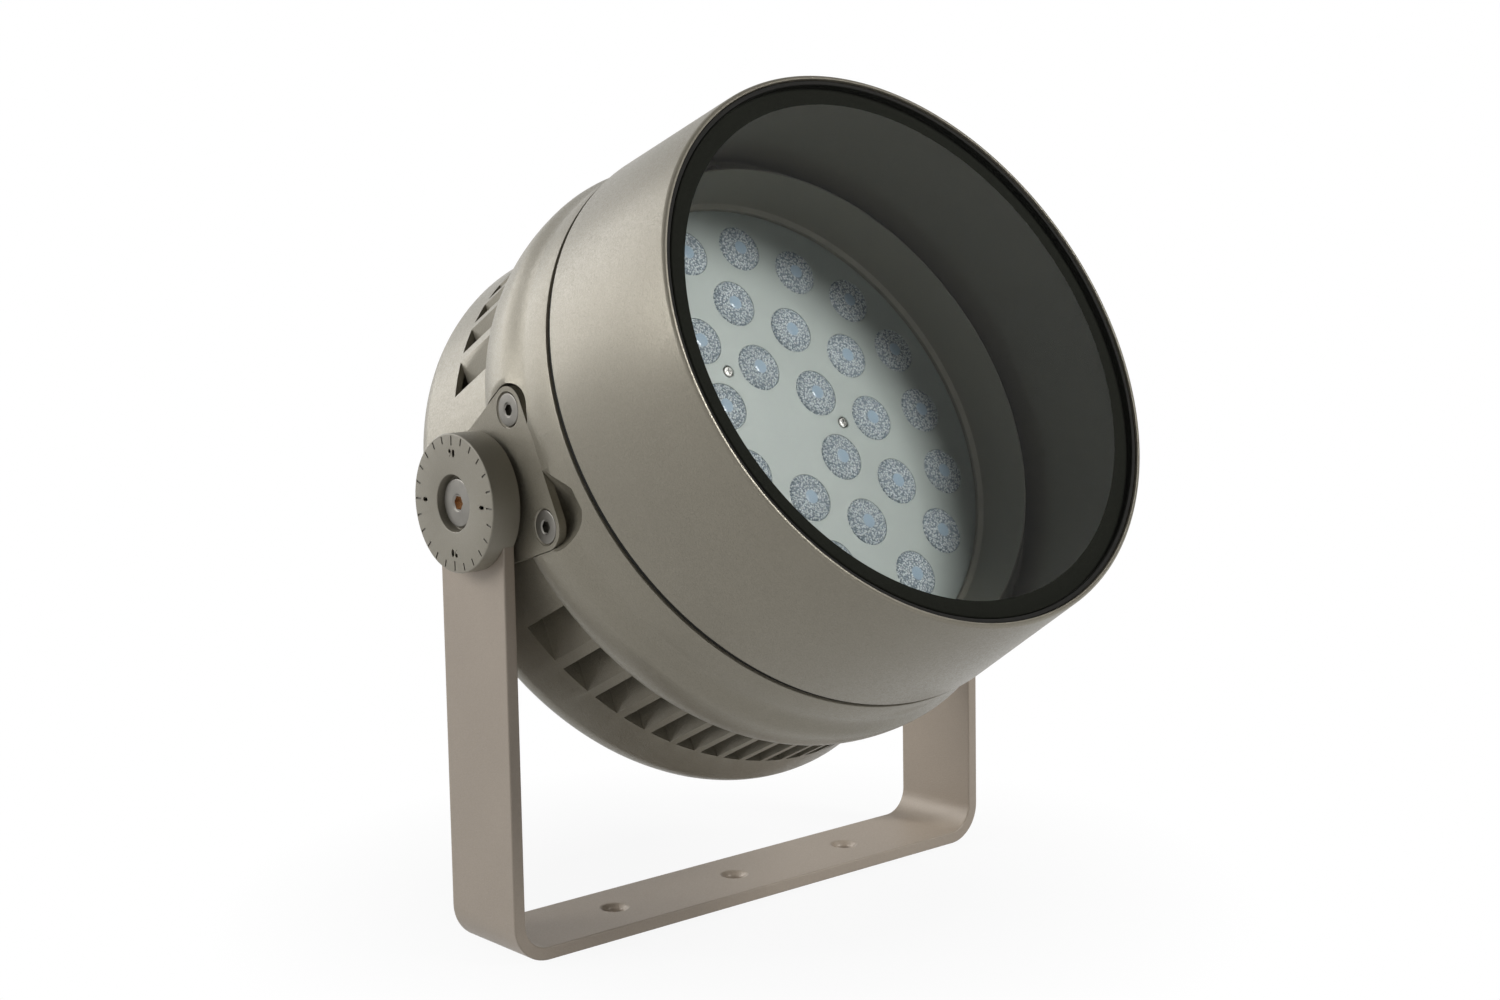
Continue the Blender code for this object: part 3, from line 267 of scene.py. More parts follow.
corner = bend_inside + arm_outer - arm_inner
arm_top = pivot_height + half_bar
left_bend = (-arm_outer + corner, corner)
right_bend = (arm_outer - corner, corner)
bar_line = [(-arm_outer, arm_top + 0.01)]
bar_line += arc_points(left_bend, corner, 180, 270, 16)
bar_line += arc_points(right_bend, corner, 270, 360, 16)
bar_line += [(arm_outer, arm_top + 0.01), (arm_inner, arm_top + 0.01)]
bar_line += arc_points(right_bend, bend_inside, 360, 270, 16)
bar_line += arc_points(left_bend, bend_inside, 270, 180, 16)
bar_line += [(-arm_inner, arm_top + 0.01)]
bm = bmesh.new()
add_slab(bm, [Vector((x, -half_bar - 0.005, z)) for x, z in bar_line],
         Vector((0, 2 * half_bar + 0.01, 0)))
yoke = make_piece("yoke_bar", bm)
arm_face = [(-half_bar, -0.005), (half_bar, -0.005)]
arm_face += arc_points((0, pivot_height), half_bar, 0, 180, 48)
bm = bmesh.new()
add_slab(bm, [Vector((-0.16, y, z)) for y, z in arm_face], Vector((0.32, 0, 0)))
carve(yoke, bm, "INTERSECT")
bm = bmesh.new()
for x in (-fixing_pitch, 0, fixing_pitch):
    add_turned(bm, [(-0.005, 0), (-0.005, fixing_hole), (0.0038, fixing_hole), (0.011, 0.01186),
            (0.011, 0)], 48, (x, 0, 0), (0, 0, 1))
for side in (-1, 1):
    add_turned(bm, [(0.14, 0), (0.14, pivot_hole), (0.16, pivot_hole), (0.16, 0)],
            48, pivot, (side, 0, 0))
carve(yoke, bm)
soften(yoke, 0.0007, 3)
dress(yoke, "yoke", "yoke_paint", [yoke_paint], "yoke_bracket")

# Brake washers: black rubber-faced rings, pressed between the yoke's arms and
# the trunnion plates on the head.
rubber, tree, shader = start_material("black_rubber",
        {"Roughness": 0.8, "Specular IOR Level": 0.2})
place = add_node(tree, "TexCoord")
dust = add_node(tree, "TexNoise", (), {"Scale": 260.0, "Detail": 4.0})
dust_tone = add_node(tree, "Mix", {"data_type": "RGBA"},
        {"A": (0.014, 0.014, 0.012, 1), "B": (0.026, 0.025, 0.023, 1)})
grain_bump = add_node(tree, "Bump", (), {"Distance": 0.00008, "Strength": 0.6})
join(place, "Object", dust, "Vector")
join(dust, "Fac", dust_tone, "Factor")
join(dust_tone, "Result", shader, "Base Color")
join(dust, "Fac", grain_bump, "Height")
join(grain_bump, "Normal", shader, "Normal")

washer_thick = 0.0019
washer_radius = 0.020
trunnion_face = arm_inner - 2 * gap - washer_thick
for word, side in (("left", -1), ("right", 1)):
    inner = trunnion_face + gap
    outer = inner + washer_thick
    bm = bmesh.new()
    add_turned(bm, [(inner, pivot_hole), (inner, washer_radius), (outer, washer_radius),
            (outer, pivot_hole)], 64, pivot, (side, 0, 0))
    washer = make_piece("brake_washer_" + word, bm)
    dress(washer, "yoke", "black_rubber", [rubber], "friction_washer_" + word)

# Goniometer caps: cast discs with a slot that fits over the arm, a recess for
# the pivot bolt, and a degree scale engraved in the face.
dial_radius = 0.0313
dial_face = arm_outer + 0.009
recess_radius = 0.0129
recess_floor = dial_face - 0.0052
engraved_depth = 0.0004
cap_paint = coated("cap_paint", (0.265, 0.243, 0.192), 0.45, 0.10, 0.02, 0.00002)
engraving_shade = coated("engraving_shadow", (0.12, 0.11, 0.088), 0.5, 0.1, 0.10, 0.00002)


def rounded(corners, closed=True, steps=4):
    points = []
    count = len(corners)
    for number, (h, r, fillet) in enumerate(corners):
        if not fillet or (not closed and number in (0, count - 1)):
            points.append((h, r))
            continue
        here = Vector((h, r))
        before = (Vector(corners[number - 1][:2]) - here).normalized()
        after = (Vector(corners[(number + 1) % count][:2]) - here).normalized()
        half = math.acos(max(-1.0, min(1.0, before.dot(after)))) / 2
        centre = here + (before + after).normalized() * (fillet / math.sin(half))
        start = (here + before * (fillet / math.tan(half)) - centre).normalized()
        end = (here + after * (fillet / math.tan(half)) - centre).normalized()
        for step in range(steps + 1):
            points.append(tuple(centre + start.slerp(end, step / steps) * fillet))
    return points


def numeral_cutters(bm, text, size, middle, turn, face):
    curve = bpy.data.curves.new("numeral", "FONT")
    curve.body = text
    curve.size = size
    curve.align_x = "CENTER"
    curve.align_y = "CENTER"
    curve.extrude = 0.001
    curve.offset = -0.00013
    curve.resolution_u = 4
    words = bpy.data.objects.new("numeral", curve)
    bpy.context.scene.collection.objects.link(words)
    bpy.context.view_layer.update()
    mesh = bpy.data.meshes.new_from_object(words)
    upright = face @ Matrix.Rotation(turn, 4, "Z") @ Matrix.Translation((0, middle, 0))
    mesh.transform(upright)
    bm.from_mesh(mesh)
    bpy.data.meshes.remove(mesh)
    bpy.data.objects.remove(words)


for word, side in (("left", -1), ("right", 1)):
    back = arm_inner + 0.0005
    edges = rounded([(back, pivot_hole, 0), (back, dial_radius, 0.0004),
            (dial_face, dial_radius, 0.0007), (dial_face, recess_radius, 0.0004),
            (recess_floor, recess_radius, 0.0003), (recess_floor, pivot_hole, 0)])
    bm = bmesh.new()
    add_turned(bm, edges, 144, pivot, (side, 0, 0))
    cap = make_piece("goniometer_cap_" + word, bm)
    half_slot = half_bar + gap
    slot_line = [(-half_slot, 0), (half_slot, 0)]
    slot_line += arc_points((0, pivot_height), half_slot, 0, 180, 48)
    bm = bmesh.new()
    add_slab(bm, [Vector((side * 0.14, y, z)) for y, z in slot_line],
             Vector((side * (arm_outer + gap - 0.14), 0, 0)))
    carve(cap, bm)
    bm = bmesh.new()
    for tick in range(24):
        angle = math.radians(15 * tick)
        length = 0.0044 if tick % 6 == 0 else 0.0034
        along = Vector((0, math.cos(angle), math.sin(angle)))
        across = Vector((0, -math.sin(angle), math.cos(angle))) * 0.00042
        outer = dial_radius - 0.0010
        floor = pivot + Vector((side * (dial_face - engraved_depth), 0, 0))
        corners = [floor + along * outer - across, floor + along * outer + across,
                   floor + along * (outer - length) + across,
                   floor + along * (outer - length) - across]
        add_slab(bm, corners, Vector((side * 0.001, 0, 0)))
    facing = Matrix.Translation(pivot + Vector((side * (dial_face - engraved_depth + 0.001), 0, 0)))
    facing @= Matrix.Rotation(side * math.pi / 2, 4, "Z") @ Matrix.Rotation(math.pi / 2, 4, "X")
    for text, turn in (("90", 0), ("0", 90), ("90", 180), ("0", 270)):
        numeral_cutters(bm, text, 0.0056, 0.0222, math.radians(turn), facing)
    carve(cap, bm)
    dress(cap, "yoke", "cap_paint", [cap_paint, engraving_shade], "goniometer_" + word)
    # The tick floors take the darker colour: painted shade in the engraved grooves.
    for polygon in cap.data.polygons:
        depth = dial_face - abs(polygon.center.x)
        away = math.hypot(polygon.center.y, polygon.center.z - pivot_height)
        if engraved_depth * 0.4 < depth < engraved_depth * 1.2 and 0.0255 < away < 0.0305:
            polygon.material_index = 1
            polygon.use_smooth = False

# The head's casting: pressure die-cast aluminium. Wall for the LEDs in front,
# eleven cooling fins to each side of the middle with open windows between
# them, and a thin band behind that carries the rear cover.
head_angle = 27.5
tilt = Matrix.Translation(pivot) @ Matrix.Rotation(math.radians(-head_angle), 4, "X")
cast_paint = coated("cast_paint", (0.248, 0.227, 0.178), 0.38, 0.42, 0.04, 0.00011, 0.0007)
round_steps = 216
side_flat = 0.145
seam_radius = 0.1443
seam_rear = 0.0698
bore_radius = 0.1412
led_seat = 0.0447
led_floor = 0.0393
vent_front = 0.0163
vent_rear = -0.0164
fin_end = -0.016
rear_end = -0.0502
block_face = 0.13055
fin_pitch = 0.012
fin_thick = 0.0029
cover_circle = 0.130
cover_hole = 0.0024
flange_circle = 0.132
flange_hole = 0.0023
ear_radius = 0.0105
hub_radius = 0.0315
ear_places = ((0.036, 0.028), (0.036, -0.028), (-0.031, 0.0))
pocket_floor = trunnion_face - 0.0039 - gap
to_head = tilt.inverted()


def head_point(station, across=0.0, up=0.0):
    return Vector((across, -station, up))


def on_clock(radius, degrees):
    return radius * math.cos(math.radians(degrees)), radius * math.sin(math.radians(degrees))


def add_rod(bm, start, end, radius, steps=32, end_radius=None):
    length = (end - start).length
    far = radius if end_radius is None else end_radius
    add_turned(bm, [(0, 0), (0, radius), (length, far), (length, 0)], steps, start, end - start)


def add_block(bm, low, high):
    verts = bmesh.ops.create_cube(bm, size=1.0)["verts"]
    for vert in verts:
        for axis in range(3):
            vert.co[axis] = (low[axis] + high[axis]) / 2 + vert.co[axis] * (high[axis] - low[axis])


def ease(start, end, steps):
    points = []
    for step in range(1, steps + 1):
        share = step / steps
        rise = (1 - math.cos(math.pi * share)) / 2
        points.append((start[0] + (end[0] - start[0]) * share,
                start[1] + (end[1] - start[1]) * rise))
    return points


def shoulder(start, end, steps):
    points = []
    for step in range(1, steps + 1):
        angle = math.pi / 2 * step / steps
        points.append((start[0] + (end[0] - start[0]) * math.sin(angle),
                end[1] + (start[1] - end[1]) * math.cos(angle)))
    return points


def turned_piece(name, profile):
    bm = bmesh.new()
    add_turned(bm, profile, round_steps, (0, 0, 0), (0, -1, 0))
    return make_piece(name, bm, tilt)


band = [(vent_rear, 0.1426), (-0.037, 0.145)]
band += shoulder(band[-1], (rear_end, 0.1376), 10)
skin = [(led_floor, 0), (led_floor, 0.119), (led_seat, 0.119), (led_seat, 0.125),
        (0.0577, 0.125), (0.0577, bore_radius), (seam_rear, bore_radius)]
skin += [(seam_rear, seam_radius - 0.0007), (seam_rear - 0.0002, seam_radius - 0.0002),
         (seam_rear - 0.0007, seam_radius), (0.054, 0.1449)]
skin += ease(skin[-1], (0.038, 0.149), 12)
skin += shoulder(skin[-1], (vent_front, 0.143), 16)
skin += band + [(rear_end, 0)]
casting = turned_piece("rear_casting", skin)
bm = bmesh.new()
add_block(bm, (-side_flat, -0.08, -0.16), (side_flat, 0.06, 0.16))
carve(casting, bm, "INTERSECT")
hollow = [(fin_end, 0), (fin_end, band[0][1] - 0.003)]
hollow += [(station, radius - 0.003) for station, radius in band[1:]]
hollow += [(rear_end - 0.005, 0.1346), (rear_end - 0.005, 0)]
cavity = turned_piece("cavity", hollow)
bm = bmesh.new()
add_block(bm, (-block_face, 0.012, -0.16), (block_face, 0.07, 0.16))
carve(cavity, bm, "INTERSECT")
bm = bmesh.new()
web_rear = fin_end - 0.003
add_block(bm, (-0.16, 0.012, -0.16), (0.16, -web_rear, -0.012))
carve(cavity, bm)
bm = bmesh.new()
bm.from_mesh(cavity.data)
carve(casting, bm)
bpy.data.objects.remove(cavity)
bm = bmesh.new()
for number in range(22):
    middle = (number - 10.5) * fin_pitch
    half_slot = (fin_pitch - fin_thick) / 2
    add_block(bm, (middle - half_slot, -vent_front, -0.16), (middle + half_slot, -vent_rear, 0.16))
carve(casting, bm)
bm = bmesh.new()
add_rod(bm, head_point(vent_front + 0.002), head_point(fin_end + gap), 0.010)
for number in range(6):
    x, z = on_clock(cover_circle, 60 * number)
    add_rod(bm, head_point(fin_end + 0.002, x, z), head_point(-0.0513, x, z), 0.0052)
carve(casting, bm, "UNION")


def belt(circles, steps):
    points = []
    for step in range(steps):
        angle = 2 * math.pi * step / steps
        cos, sin = math.cos(angle), math.sin(angle)
        u, v, radius = max(circles, key=lambda c: c[0] * cos + c[1] * sin + c[2])
        points.append((u + radius * cos, v + radius * sin))
    return points


def ears_outline(extra):
    circles = [(station, up, ear_radius + extra) for station, up in ear_places]
    circles.append((0, 0, hub_radius + extra))
    return belt(circles, 120)


def add_tapered(bm, low, high):
    rings = [[bm.verts.new(point) for point in points] for points in (low, high)]
    bm.faces.new(rings[0])
    bm.faces.new(rings[1])
    count = len(low)
    for step in range(count):
        after = (step + 1) % count
        bm.faces.new([rings[0][step], rings[0][after], rings[1][after], rings[1][step]])


slit = 0.0004
hollow_radius = 0.0130
scoop_radius = 0.036
far_out = 0.15
for side in (-1, 1):
    level = trunnion_face + 0.0002
    bm = bmesh.new()
    add_tapered(bm, [head_point(station, side * level, up) for station, up in ears_outline(0.001)],
                [head_point(station, side * far_out, up) for station, up in ears_outline(0.030)])
    carve(casting, bm)
    bm = bmesh.new()
    pocket = [head_point(station, side * pocket_floor, up) for station, up in ears_outline(slit)]
    add_slab(bm, pocket, Vector((side * 0.02, 0, 0)))
    carve(casting, bm)
    station, up = ear_places[0]
    bm = bmesh.new()
    middle = head_point(station + 0.0015, 0, up - 0.0022)
    add_rod(bm, middle + Vector((side * pocket_floor, 0, 0)), middle + Vector((side * far_out, 0, 0)),
            hollow_radius, 72, 0.0138)
    carve(casting, bm)
    top = head_point(0.0462, side * 0.1448, -0.0030)
    low = head_point(0.0485, side * 0.1768, -0.0398)
    length = (low - top).length
    narrow = math.degrees(math.acos(scoop_radius / length))
    drop = [(length + h, r) for h, r in arc_points((0, 0), scoop_radius, 180 - narrow, 0, 24)]
    bm = bmesh.new()
    add_turned(bm, [(0, 0)] + drop[:-1] + [(length + scoop_radius, 0)], 120, top, low - top)
    carve(casting, bm)
bm = bmesh.new()
add_rod(bm, head_point(led_floor + 0.005), head_point(fin_end - 0.005), 0.005)
for number in range(6):
    x, z = on_clock(flange_circle, 90 + 60 * number)
    add_rod(bm, head_point(0.063, x, z), head_point(0.0505, x, z), flange_hole, 16)
    x, z = on_clock(cover_circle, 60 * number)
    add_rod(bm, head_point(-0.06, x, z), head_point(-0.0403, x, z), cover_hole, 16)
for side in (-1, 1):
    mouth = side * (pocket_floor + 0.005)
    add_rod(bm, head_point(0, mouth), head_point(0, side * (pocket_floor - 0.0074)), pivot_hole)
    for station, up in ear_places:
        add_rod(bm, head_point(station, mouth, up),
                head_point(station, side * (pocket_floor - 0.0078), up), 0.0033, 24)
carve(casting, bm)
dress(casting, "head", "cast_paint", [cast_paint], "rear_housing")

# Trunnion plates: flat three-lobed plates, painted like the casting, let into
# its sides and held by three countersunk stainless screws each.
steel_brush, brush_in, brush_out = start_group("turned_steel",
    [("Colour", COLOUR, (0.5, 0.5, 0.52, 1)), ("Roughness", FLOAT, 0.3), ("Grain", FLOAT, 2200.0)],
    [("Colour", COLOUR), ("Roughness", FLOAT), ("Height", FLOAT)])
tree = steel_brush
place = add_node(tree, "TexCoord")
scratches = add_node(tree, "TexNoise")
patches = add_node(tree, "TexNoise", (), {"Scale": 160.0, "Detail": 3.0})
shade = add_node(tree, "MapRange", (), {"To Min": 0.75, "To Max": 1.15})
shaded = add_node(tree, "VectorMath", {"operation": "SCALE"})
rough_part = add_node(tree, "MapRange", (), {"To Min": -0.08, "To Max": 0.10})
rough_sum = add_node(tree, "Math", {"operation": "ADD", "use_clamp": True})
join(place, "Object", scratches, "Vector")
join(brush_in, "Grain", scratches, "Scale")
join(place, "Object", patches, "Vector")
join(patches, "Fac", shade, "Value")
join(brush_in, "Colour", shaded, 0)
join(shade, 0, shaded, "Scale")
join(shaded, 0, brush_out, "Colour")
join(scratches, "Fac", rough_part, "Value")
join(rough_part, 0, rough_sum, 0)
join(brush_in, "Roughness", rough_sum, 1)
join(rough_sum, 0, brush_out, "Roughness")
join(scratches, "Fac", brush_out, "Height")


def bare_metal(name, colour, roughness, grain=2200.0):
    material, tree, shader = start_material(name, {"Metallic": 1.0})
    metal = add_node(tree, "Group", {"node_tree": steel_brush},
            {"Colour": (*colour, 1), "Roughness": roughness, "Grain": grain})
    bump = add_node(tree, "Bump", (), {"Strength": 0.4, "Distance": 0.00003})
    join(metal, "Colour", shader, "Base Color")
    join(metal, "Roughness", shader, "Roughness")
    join(metal, "Height", bump, "Height")
    join(bump, "Normal", shader, "Normal")
    return material


def paint_faces(piece, chosen):
    for polygon in piece.data.polygons:
        middle = to_head @ polygon.center
        polygon.material_index = int(chosen(-middle.y, middle.x, middle.z))


steel = bare_metal("stainless_steel", (0.22, 0.21, 0.19), 0.40)
socket_shade_steel = bare_metal("socket_steel", (0.13, 0.125, 0.11), 0.30)
ear_socket = 0.0028
for word, side in (("left", -1), ("right", 1)):
    bm = bmesh.new()
    ears = [head_point(station, side * (pocket_floor + gap), up) for station, up in ears_outline(0)]
    add_slab(bm, ears, Vector((side * (trunnion_face - pocket_floor - gap), 0, 0)))
    plate = make_piece("trunnion_plate_" + word, bm, tilt)
    bm = bmesh.new()
    add_rod(bm, head_point(0, side * 0.13), head_point(0, side * 0.15), pivot_hole)
    for station, up in ear_places:
        add_turned(bm, [(0.13, 0), (0.13, 0.0045), (trunnion_face - 0.0038, 0.0045),
                (trunnion_face - 0.0004, 0.0083), (trunnion_face + 0.002, 0.0083),
                (trunnion_face + 0.002, 0)], 64, head_point(station, 0, up), (side, 0, 0))
    carve(plate, bm)
    soften(plate, 0.0004)
    dress(plate, "head", "cast_paint", [cast_paint], "trunnion_" + word)
    for number, (station, up) in enumerate(ear_places, 1):
        face = trunnion_face - gap
        head_line = rounded([(pocket_floor - 0.0075, 0, 0), (pocket_floor - 0.0075, 0.003, 0),
                (pocket_floor + 0.0006, 0.003, 0), (pocket_floor + 0.0006, 0.0042, 0),
                (face - 0.0008, 0.0075, 0), (face, 0.0075, 0.0005),
                (face, 0.0034, 0), (face - 0.0004, 0.0029, 0), (face - 0.0004, 0, 0)], closed=False)
        bm = bmesh.new()
        add_turned(bm, head_line, 48, head_point(station, 0, up), (side, 0, 0))
        screw = make_piece(f"ear_screw_{word}_{number}", bm, tilt)
        bm = bmesh.new()
        add_rod(bm, head_point(station, side * (face - 0.0024), up),
                head_point(station, side * (face + 0.002), up), ear_socket, 6)
        carve(screw, bm)
        dress(screw, "head", "bright_steel", [steel, socket_shade_steel], f"trunnion_screw_{word}_{number}")
        # The socket's faces take the darker steel: painted shade in the hex recess.
        paint_faces(screw, lambda s, x, z: face - 0.0027 < abs(x) < face - 0.0006
                    and math.hypot(s - station, z - up) < ear_socket)

# Pivot bolts: low hexagon socket bolts in stainless steel, one to each side,
# that pass cap, arm and washer and hold the head at its tilt.
socket_glint_metal = bare_metal("socket_painted_glint", (0.50, 0.35, 0.23), 0.28)
bolt_seat = recess_floor + gap
bolt_face = bolt_seat + 0.0025
bolt_shank = 0.006
bolt_head = 0.0111
bolt_socket = 0.0034
for word, side in (("left", -1), ("right", 1)):
    line = rounded([(pocket_floor - 0.0071, 0, 0), (pocket_floor - 0.0071, bolt_shank, 0.0008),
            (bolt_seat, bolt_shank, 0), (bolt_seat, bolt_head, 0.0003),
            (bolt_face, bolt_head, 0.0009), (bolt_face, 0.0042, 0),
            (bolt_face - 0.0006, 0.0035, 0), (bolt_face - 0.0006, 0, 0)], closed=False)
    bm = bmesh.new()
    add_turned(bm, line, 96, (0, 0, 0), (side, 0, 0))
    bolt = make_piece("pivot_bolt_head_" + word, bm, tilt)
    bm = bmesh.new()
    add_rod(bm, Vector((side * (bolt_face - 0.0034), 0, 0)), Vector((side * (bolt_face + 0.002), 0, 0)),
            bolt_socket, 6)
    carve(bolt, bm)
    dress(bolt, "head", "bright_steel", [steel, socket_glint_metal], "pivot_bolt_" + word)
    # The socket's faces take a warm bronze colour: a painted glint inside the hex.
    paint_faces(bolt, lambda s, x, z: 0.0008 < bolt_face - abs(x) < 0.0036
                and math.hypot(s, z) < 0.0036)

# Front ring: a conical aluminium barrel, turned and powder coated, with a thin
# rounded rim, a seat for the glass, and a spigot and flange that enter the
# casting. Its inside is matt and painted darker: partly its coating, partly
# painted shade inside the barrel.
front = 0.1485
opening = 0.1328
glass_front = front - 0.001
glass_back = glass_front - 0.004
seat = glass_back - 2 * gap - 0.001
seam_front = 0.0727
flange = 0.0615
inside_shade_paint = coated("ring_inside", (0.160, 0.156, 0.128), 0.6, 0.0, 0.02, 0.00002)
barrel = rounded([(front, 0.1349, 0.0018), (front, opening, 0.0003), (seat, opening, 0),
        (seat, opening - 0.006, 0.0004), (seat - 0.0028, opening - 0.006, 0.0006),
        (seat - 0.0056, 0.1310, 0.002), (flange, 0.1384, 0.0012), (flange, 0.125, 0.0004),
        (0.0593, 0.125, 0), (0.0593, 0.1283, 0), (0.058, 0.1283, 0), (0.058, 0.1409, 0),
        (seam_front, 0.1409, 0), (seam_front, seam_radius, 0.0007)])
ring = turned_piece("front_barrel", barrel)
bm = bmesh.new()
for number in range(6):
    x, z = on_clock(flange_circle, 90 + 60 * number)
    add_rod(bm, head_point(0.07, x, z), head_point(0.05, x, z), flange_hole, 24)
carve(ring, bm)
dress(ring, "head", "cast_paint", [cast_paint, inside_shade_paint], "front_ring")
# The inner faces take the darker paint, which is partly painted shade.
paint_faces(ring, lambda s, x, z: s < seat - 0.0005
            and math.hypot(x, z) < min(0.1404, 0.1410 - (s - 0.058) * 0.06))

# Seam gasket: black silicone, a little below the paint, which shows as the
# dark line between the casting and the front ring.
seal_radius = 0.1430
seam_seal = turned_piece("seam_seal", [
    (seam_rear + gap, bore_radius), (seam_rear + gap, seal_radius),
    (seam_front - gap, seal_radius), (seam_front - gap, bore_radius)])
dress(seam_seal, "head", "black_rubber", [rubber], "seam_gasket")

# Flange screws: six pan heads with cross recesses, inside the front ring, that
# hold its flange to the casting.
def cross_screw(name, line, start, out, low, high, reach, half):
    bm = bmesh.new()
    add_turned(bm, rounded(line, closed=False), 40, start, (0, out, 0))
    piece = make_piece(name, bm, tilt)
    for across, up in ((reach, half), (half, reach)):
        bm = bmesh.new()
        add_block(bm, start + Vector((-across, low, -up)), start + Vector((across, high, up)))
        carve(piece, bm)
    return piece


for number in range(6):
    x, z = on_clock(flange_circle, 90 + 60 * number)
    start = head_point(0.0615 + gap, x, z)
    line = [(-0.0103, 0, 0), (-0.0103, 0.002, 0), (0, 0.002, 0), (0, 0.0035, 0),
            (0.0016, 0.0033, 0.0005), (0.0024, 0.0022, 0.0006), (0.0024, 0, 0)]
    name = f"flange_screw_{number + 1}"
    screw = cross_screw(name, line, start, -1, -0.004, -0.0012, 0.0016, 0.00035)
    dress(screw, "head", "bright_steel", [steel], f"ring_screw_{number + 1}")

# Glass and its ring: 4 mm toughened glass, with a black ceramic border fired
# on its inner face and edge, lying in an L-shaped ring of black silicone.
seal_outer = opening - gap
seal_lip = 0.002
glass_radius = seal_outer - seal_lip - gap
print_inner = 0.1215
edge_break = 0.0004
seal_inner = seal_outer - 0.0055
glass_seal = turned_piece("glass_seal", rounded([
    (seat + gap, seal_inner, 0), (seat + gap, seal_outer, 0),
    (glass_front - gap, seal_outer, 0.0004), (glass_front - gap, seal_outer - seal_lip, 0.0004),
    (glass_back - gap, seal_outer - seal_lip, 0), (glass_back - gap, seal_inner, 0)]))
dress(glass_seal, "head", "black_rubber", [rubber], "glass_gasket")


def clear(name, colour, roughness, ior):
    material, tree, shader = start_material(name, {"Base Color": (*colour, 1),
            "Transmission Weight": 1.0, "Roughness": roughness, "IOR": ior})
    through = add_node(tree, "BsdfTransparent", (), {"Color": (*colour, 1)})
    path = add_node(tree, "LightPath")
    soft_rays = add_node(tree, "Math", {"operation": "MAXIMUM"})
    choose = add_node(tree, "MixShader")
    join(path, "Is Shadow Ray", soft_rays, 0)
    join(path, "Is Diffuse Ray", soft_rays, 1)
    join(soft_rays, 0, choose, 0)
    join(shader, 0, choose, 1)
    join(through, 0, choose, 2)
    join(choose, 0, tree.nodes["Material Output"], "Surface")
    return material


clear_glass = clear("clear_glass", (0.985, 0.988, 0.975), 0.0, 1.18)
print_black = coated("ceramic_border", (0.021, 0.022, 0.018), 0.5, 0.0, 0.1, 0.00001)
print_black.node_tree.nodes["Principled BSDF"].inputs["Specular IOR Level"].default_value = 0.0
pane = turned_piece("front_pane", [
    (glass_back, 0), (glass_back, print_inner), (glass_back, glass_radius - edge_break),
    (glass_back + edge_break, glass_radius), (glass_front - edge_break, glass_radius),
    (glass_front, glass_radius - edge_break), (glass_front, 0)])
dress(pane, "head", "clear_glass", [clear_glass, print_black], "front_glass")
paint_faces(pane, lambda s, x, z: math.hypot(x, z) > print_inner
            and (s < glass_back + 0.0003 or math.hypot(x, z) > glass_radius - 0.0005))

# Collar: a thin spun cone with a stepped foot on the LED plate and a flange
# that the front ring clamps on its ledge.
collar_paint = coated("collar_paint", (0.22, 0.215, 0.175), 0.5, 0.0, 0.03, 0.00002)
foot = 0.0473
lip = 0.0763
rear_radius = 0.121
lip_radius = 0.1254


def cone_radius(station):
    share = (station - foot - 0.0034) / (lip - foot - 0.0034)
    return rear_radius + share * (lip_radius - rear_radius)


cone = rounded([(foot, 0.1186, 0), (foot + 0.0020, 0.1186, 0.0006),
        (foot + 0.0034, rear_radius, 0.0008),
        (lip, lip_radius, 0.0003), (lip, lip_radius + 0.0009, 0.0003),
        (0.059, cone_radius(0.059) + 0.0013, 0), (0.059, 0.128, 0.0003), (0.058, 0.128, 0),
        (0.058, cone_radius(0.058) + 0.0013, 0), (foot, rear_radius + 0.0013, 0)])
dress(turned_piece("inner_collar", cone), "head", "collar_paint", [collar_paint], "collar")

# LED plate: a round aluminium cover, satin pale grey-green, with 36 openings
# for the lenses and three small screws.
plate_front = 0.047
plate_back = 0.045
lens_turn = 2.6
opening_radius = 0.0120
lens_places = []
for number in range(6):
    corner = lens_turn + 60 * number
    lens_places.append(on_clock(0.0342, corner + 30))
    lens_places.append(on_clock(0.0684, corner + 30))
    lens_places.append(on_clock(0.0342 * math.sqrt(3), corner))
    lens_places.append(on_clock(0.0943, corner))
    lens_places.append(on_clock(0.0986, corner + 20))
    lens_places.append(on_clock(0.0986, corner + 40))
screw_seat = plate_front - 0.0009
screw_places = [on_clock(0.0395, lens_turn + 120 * number) for number in range(3)]
plated = bare_metal("plated_screw", (0.55, 0.55, 0.53), 0.22)
plate_paint = coated("led_plate_paint", (0.38, 0.43, 0.415), 0.42, 0.0, 0.015, 0.00001)
plate_radius = 0.1215
cover_plate = turned_piece("lens_cover_plate", [
    (plate_back, 0), (plate_back, plate_radius), (plate_front, plate_radius), (plate_front, 0)])
bm = bmesh.new()
for x, z in lens_places:
    add_turned(bm, [(plate_back - 0.005, 0), (plate_back - 0.005, opening_radius),
            (plate_front - 0.0001, opening_radius), (plate_front + 0.001, opening_radius + 0.0011),
            (plate_front + 0.001, 0)], 48, (x, 0, z), (0, -1, 0))
for x, z in screw_places:
    add_turned(bm, [(0.04, 0), (0.04, 0.0018), (screw_seat, 0.0018), (screw_seat, 0.0033),
            (0.05, 0.0033), (0.05, 0)], 32, (x, 0, z), (0, -1, 0))
carve(cover_plate, bm)
dress(cover_plate, "head", "led_plate_paint", [plate_paint], "led_plate")
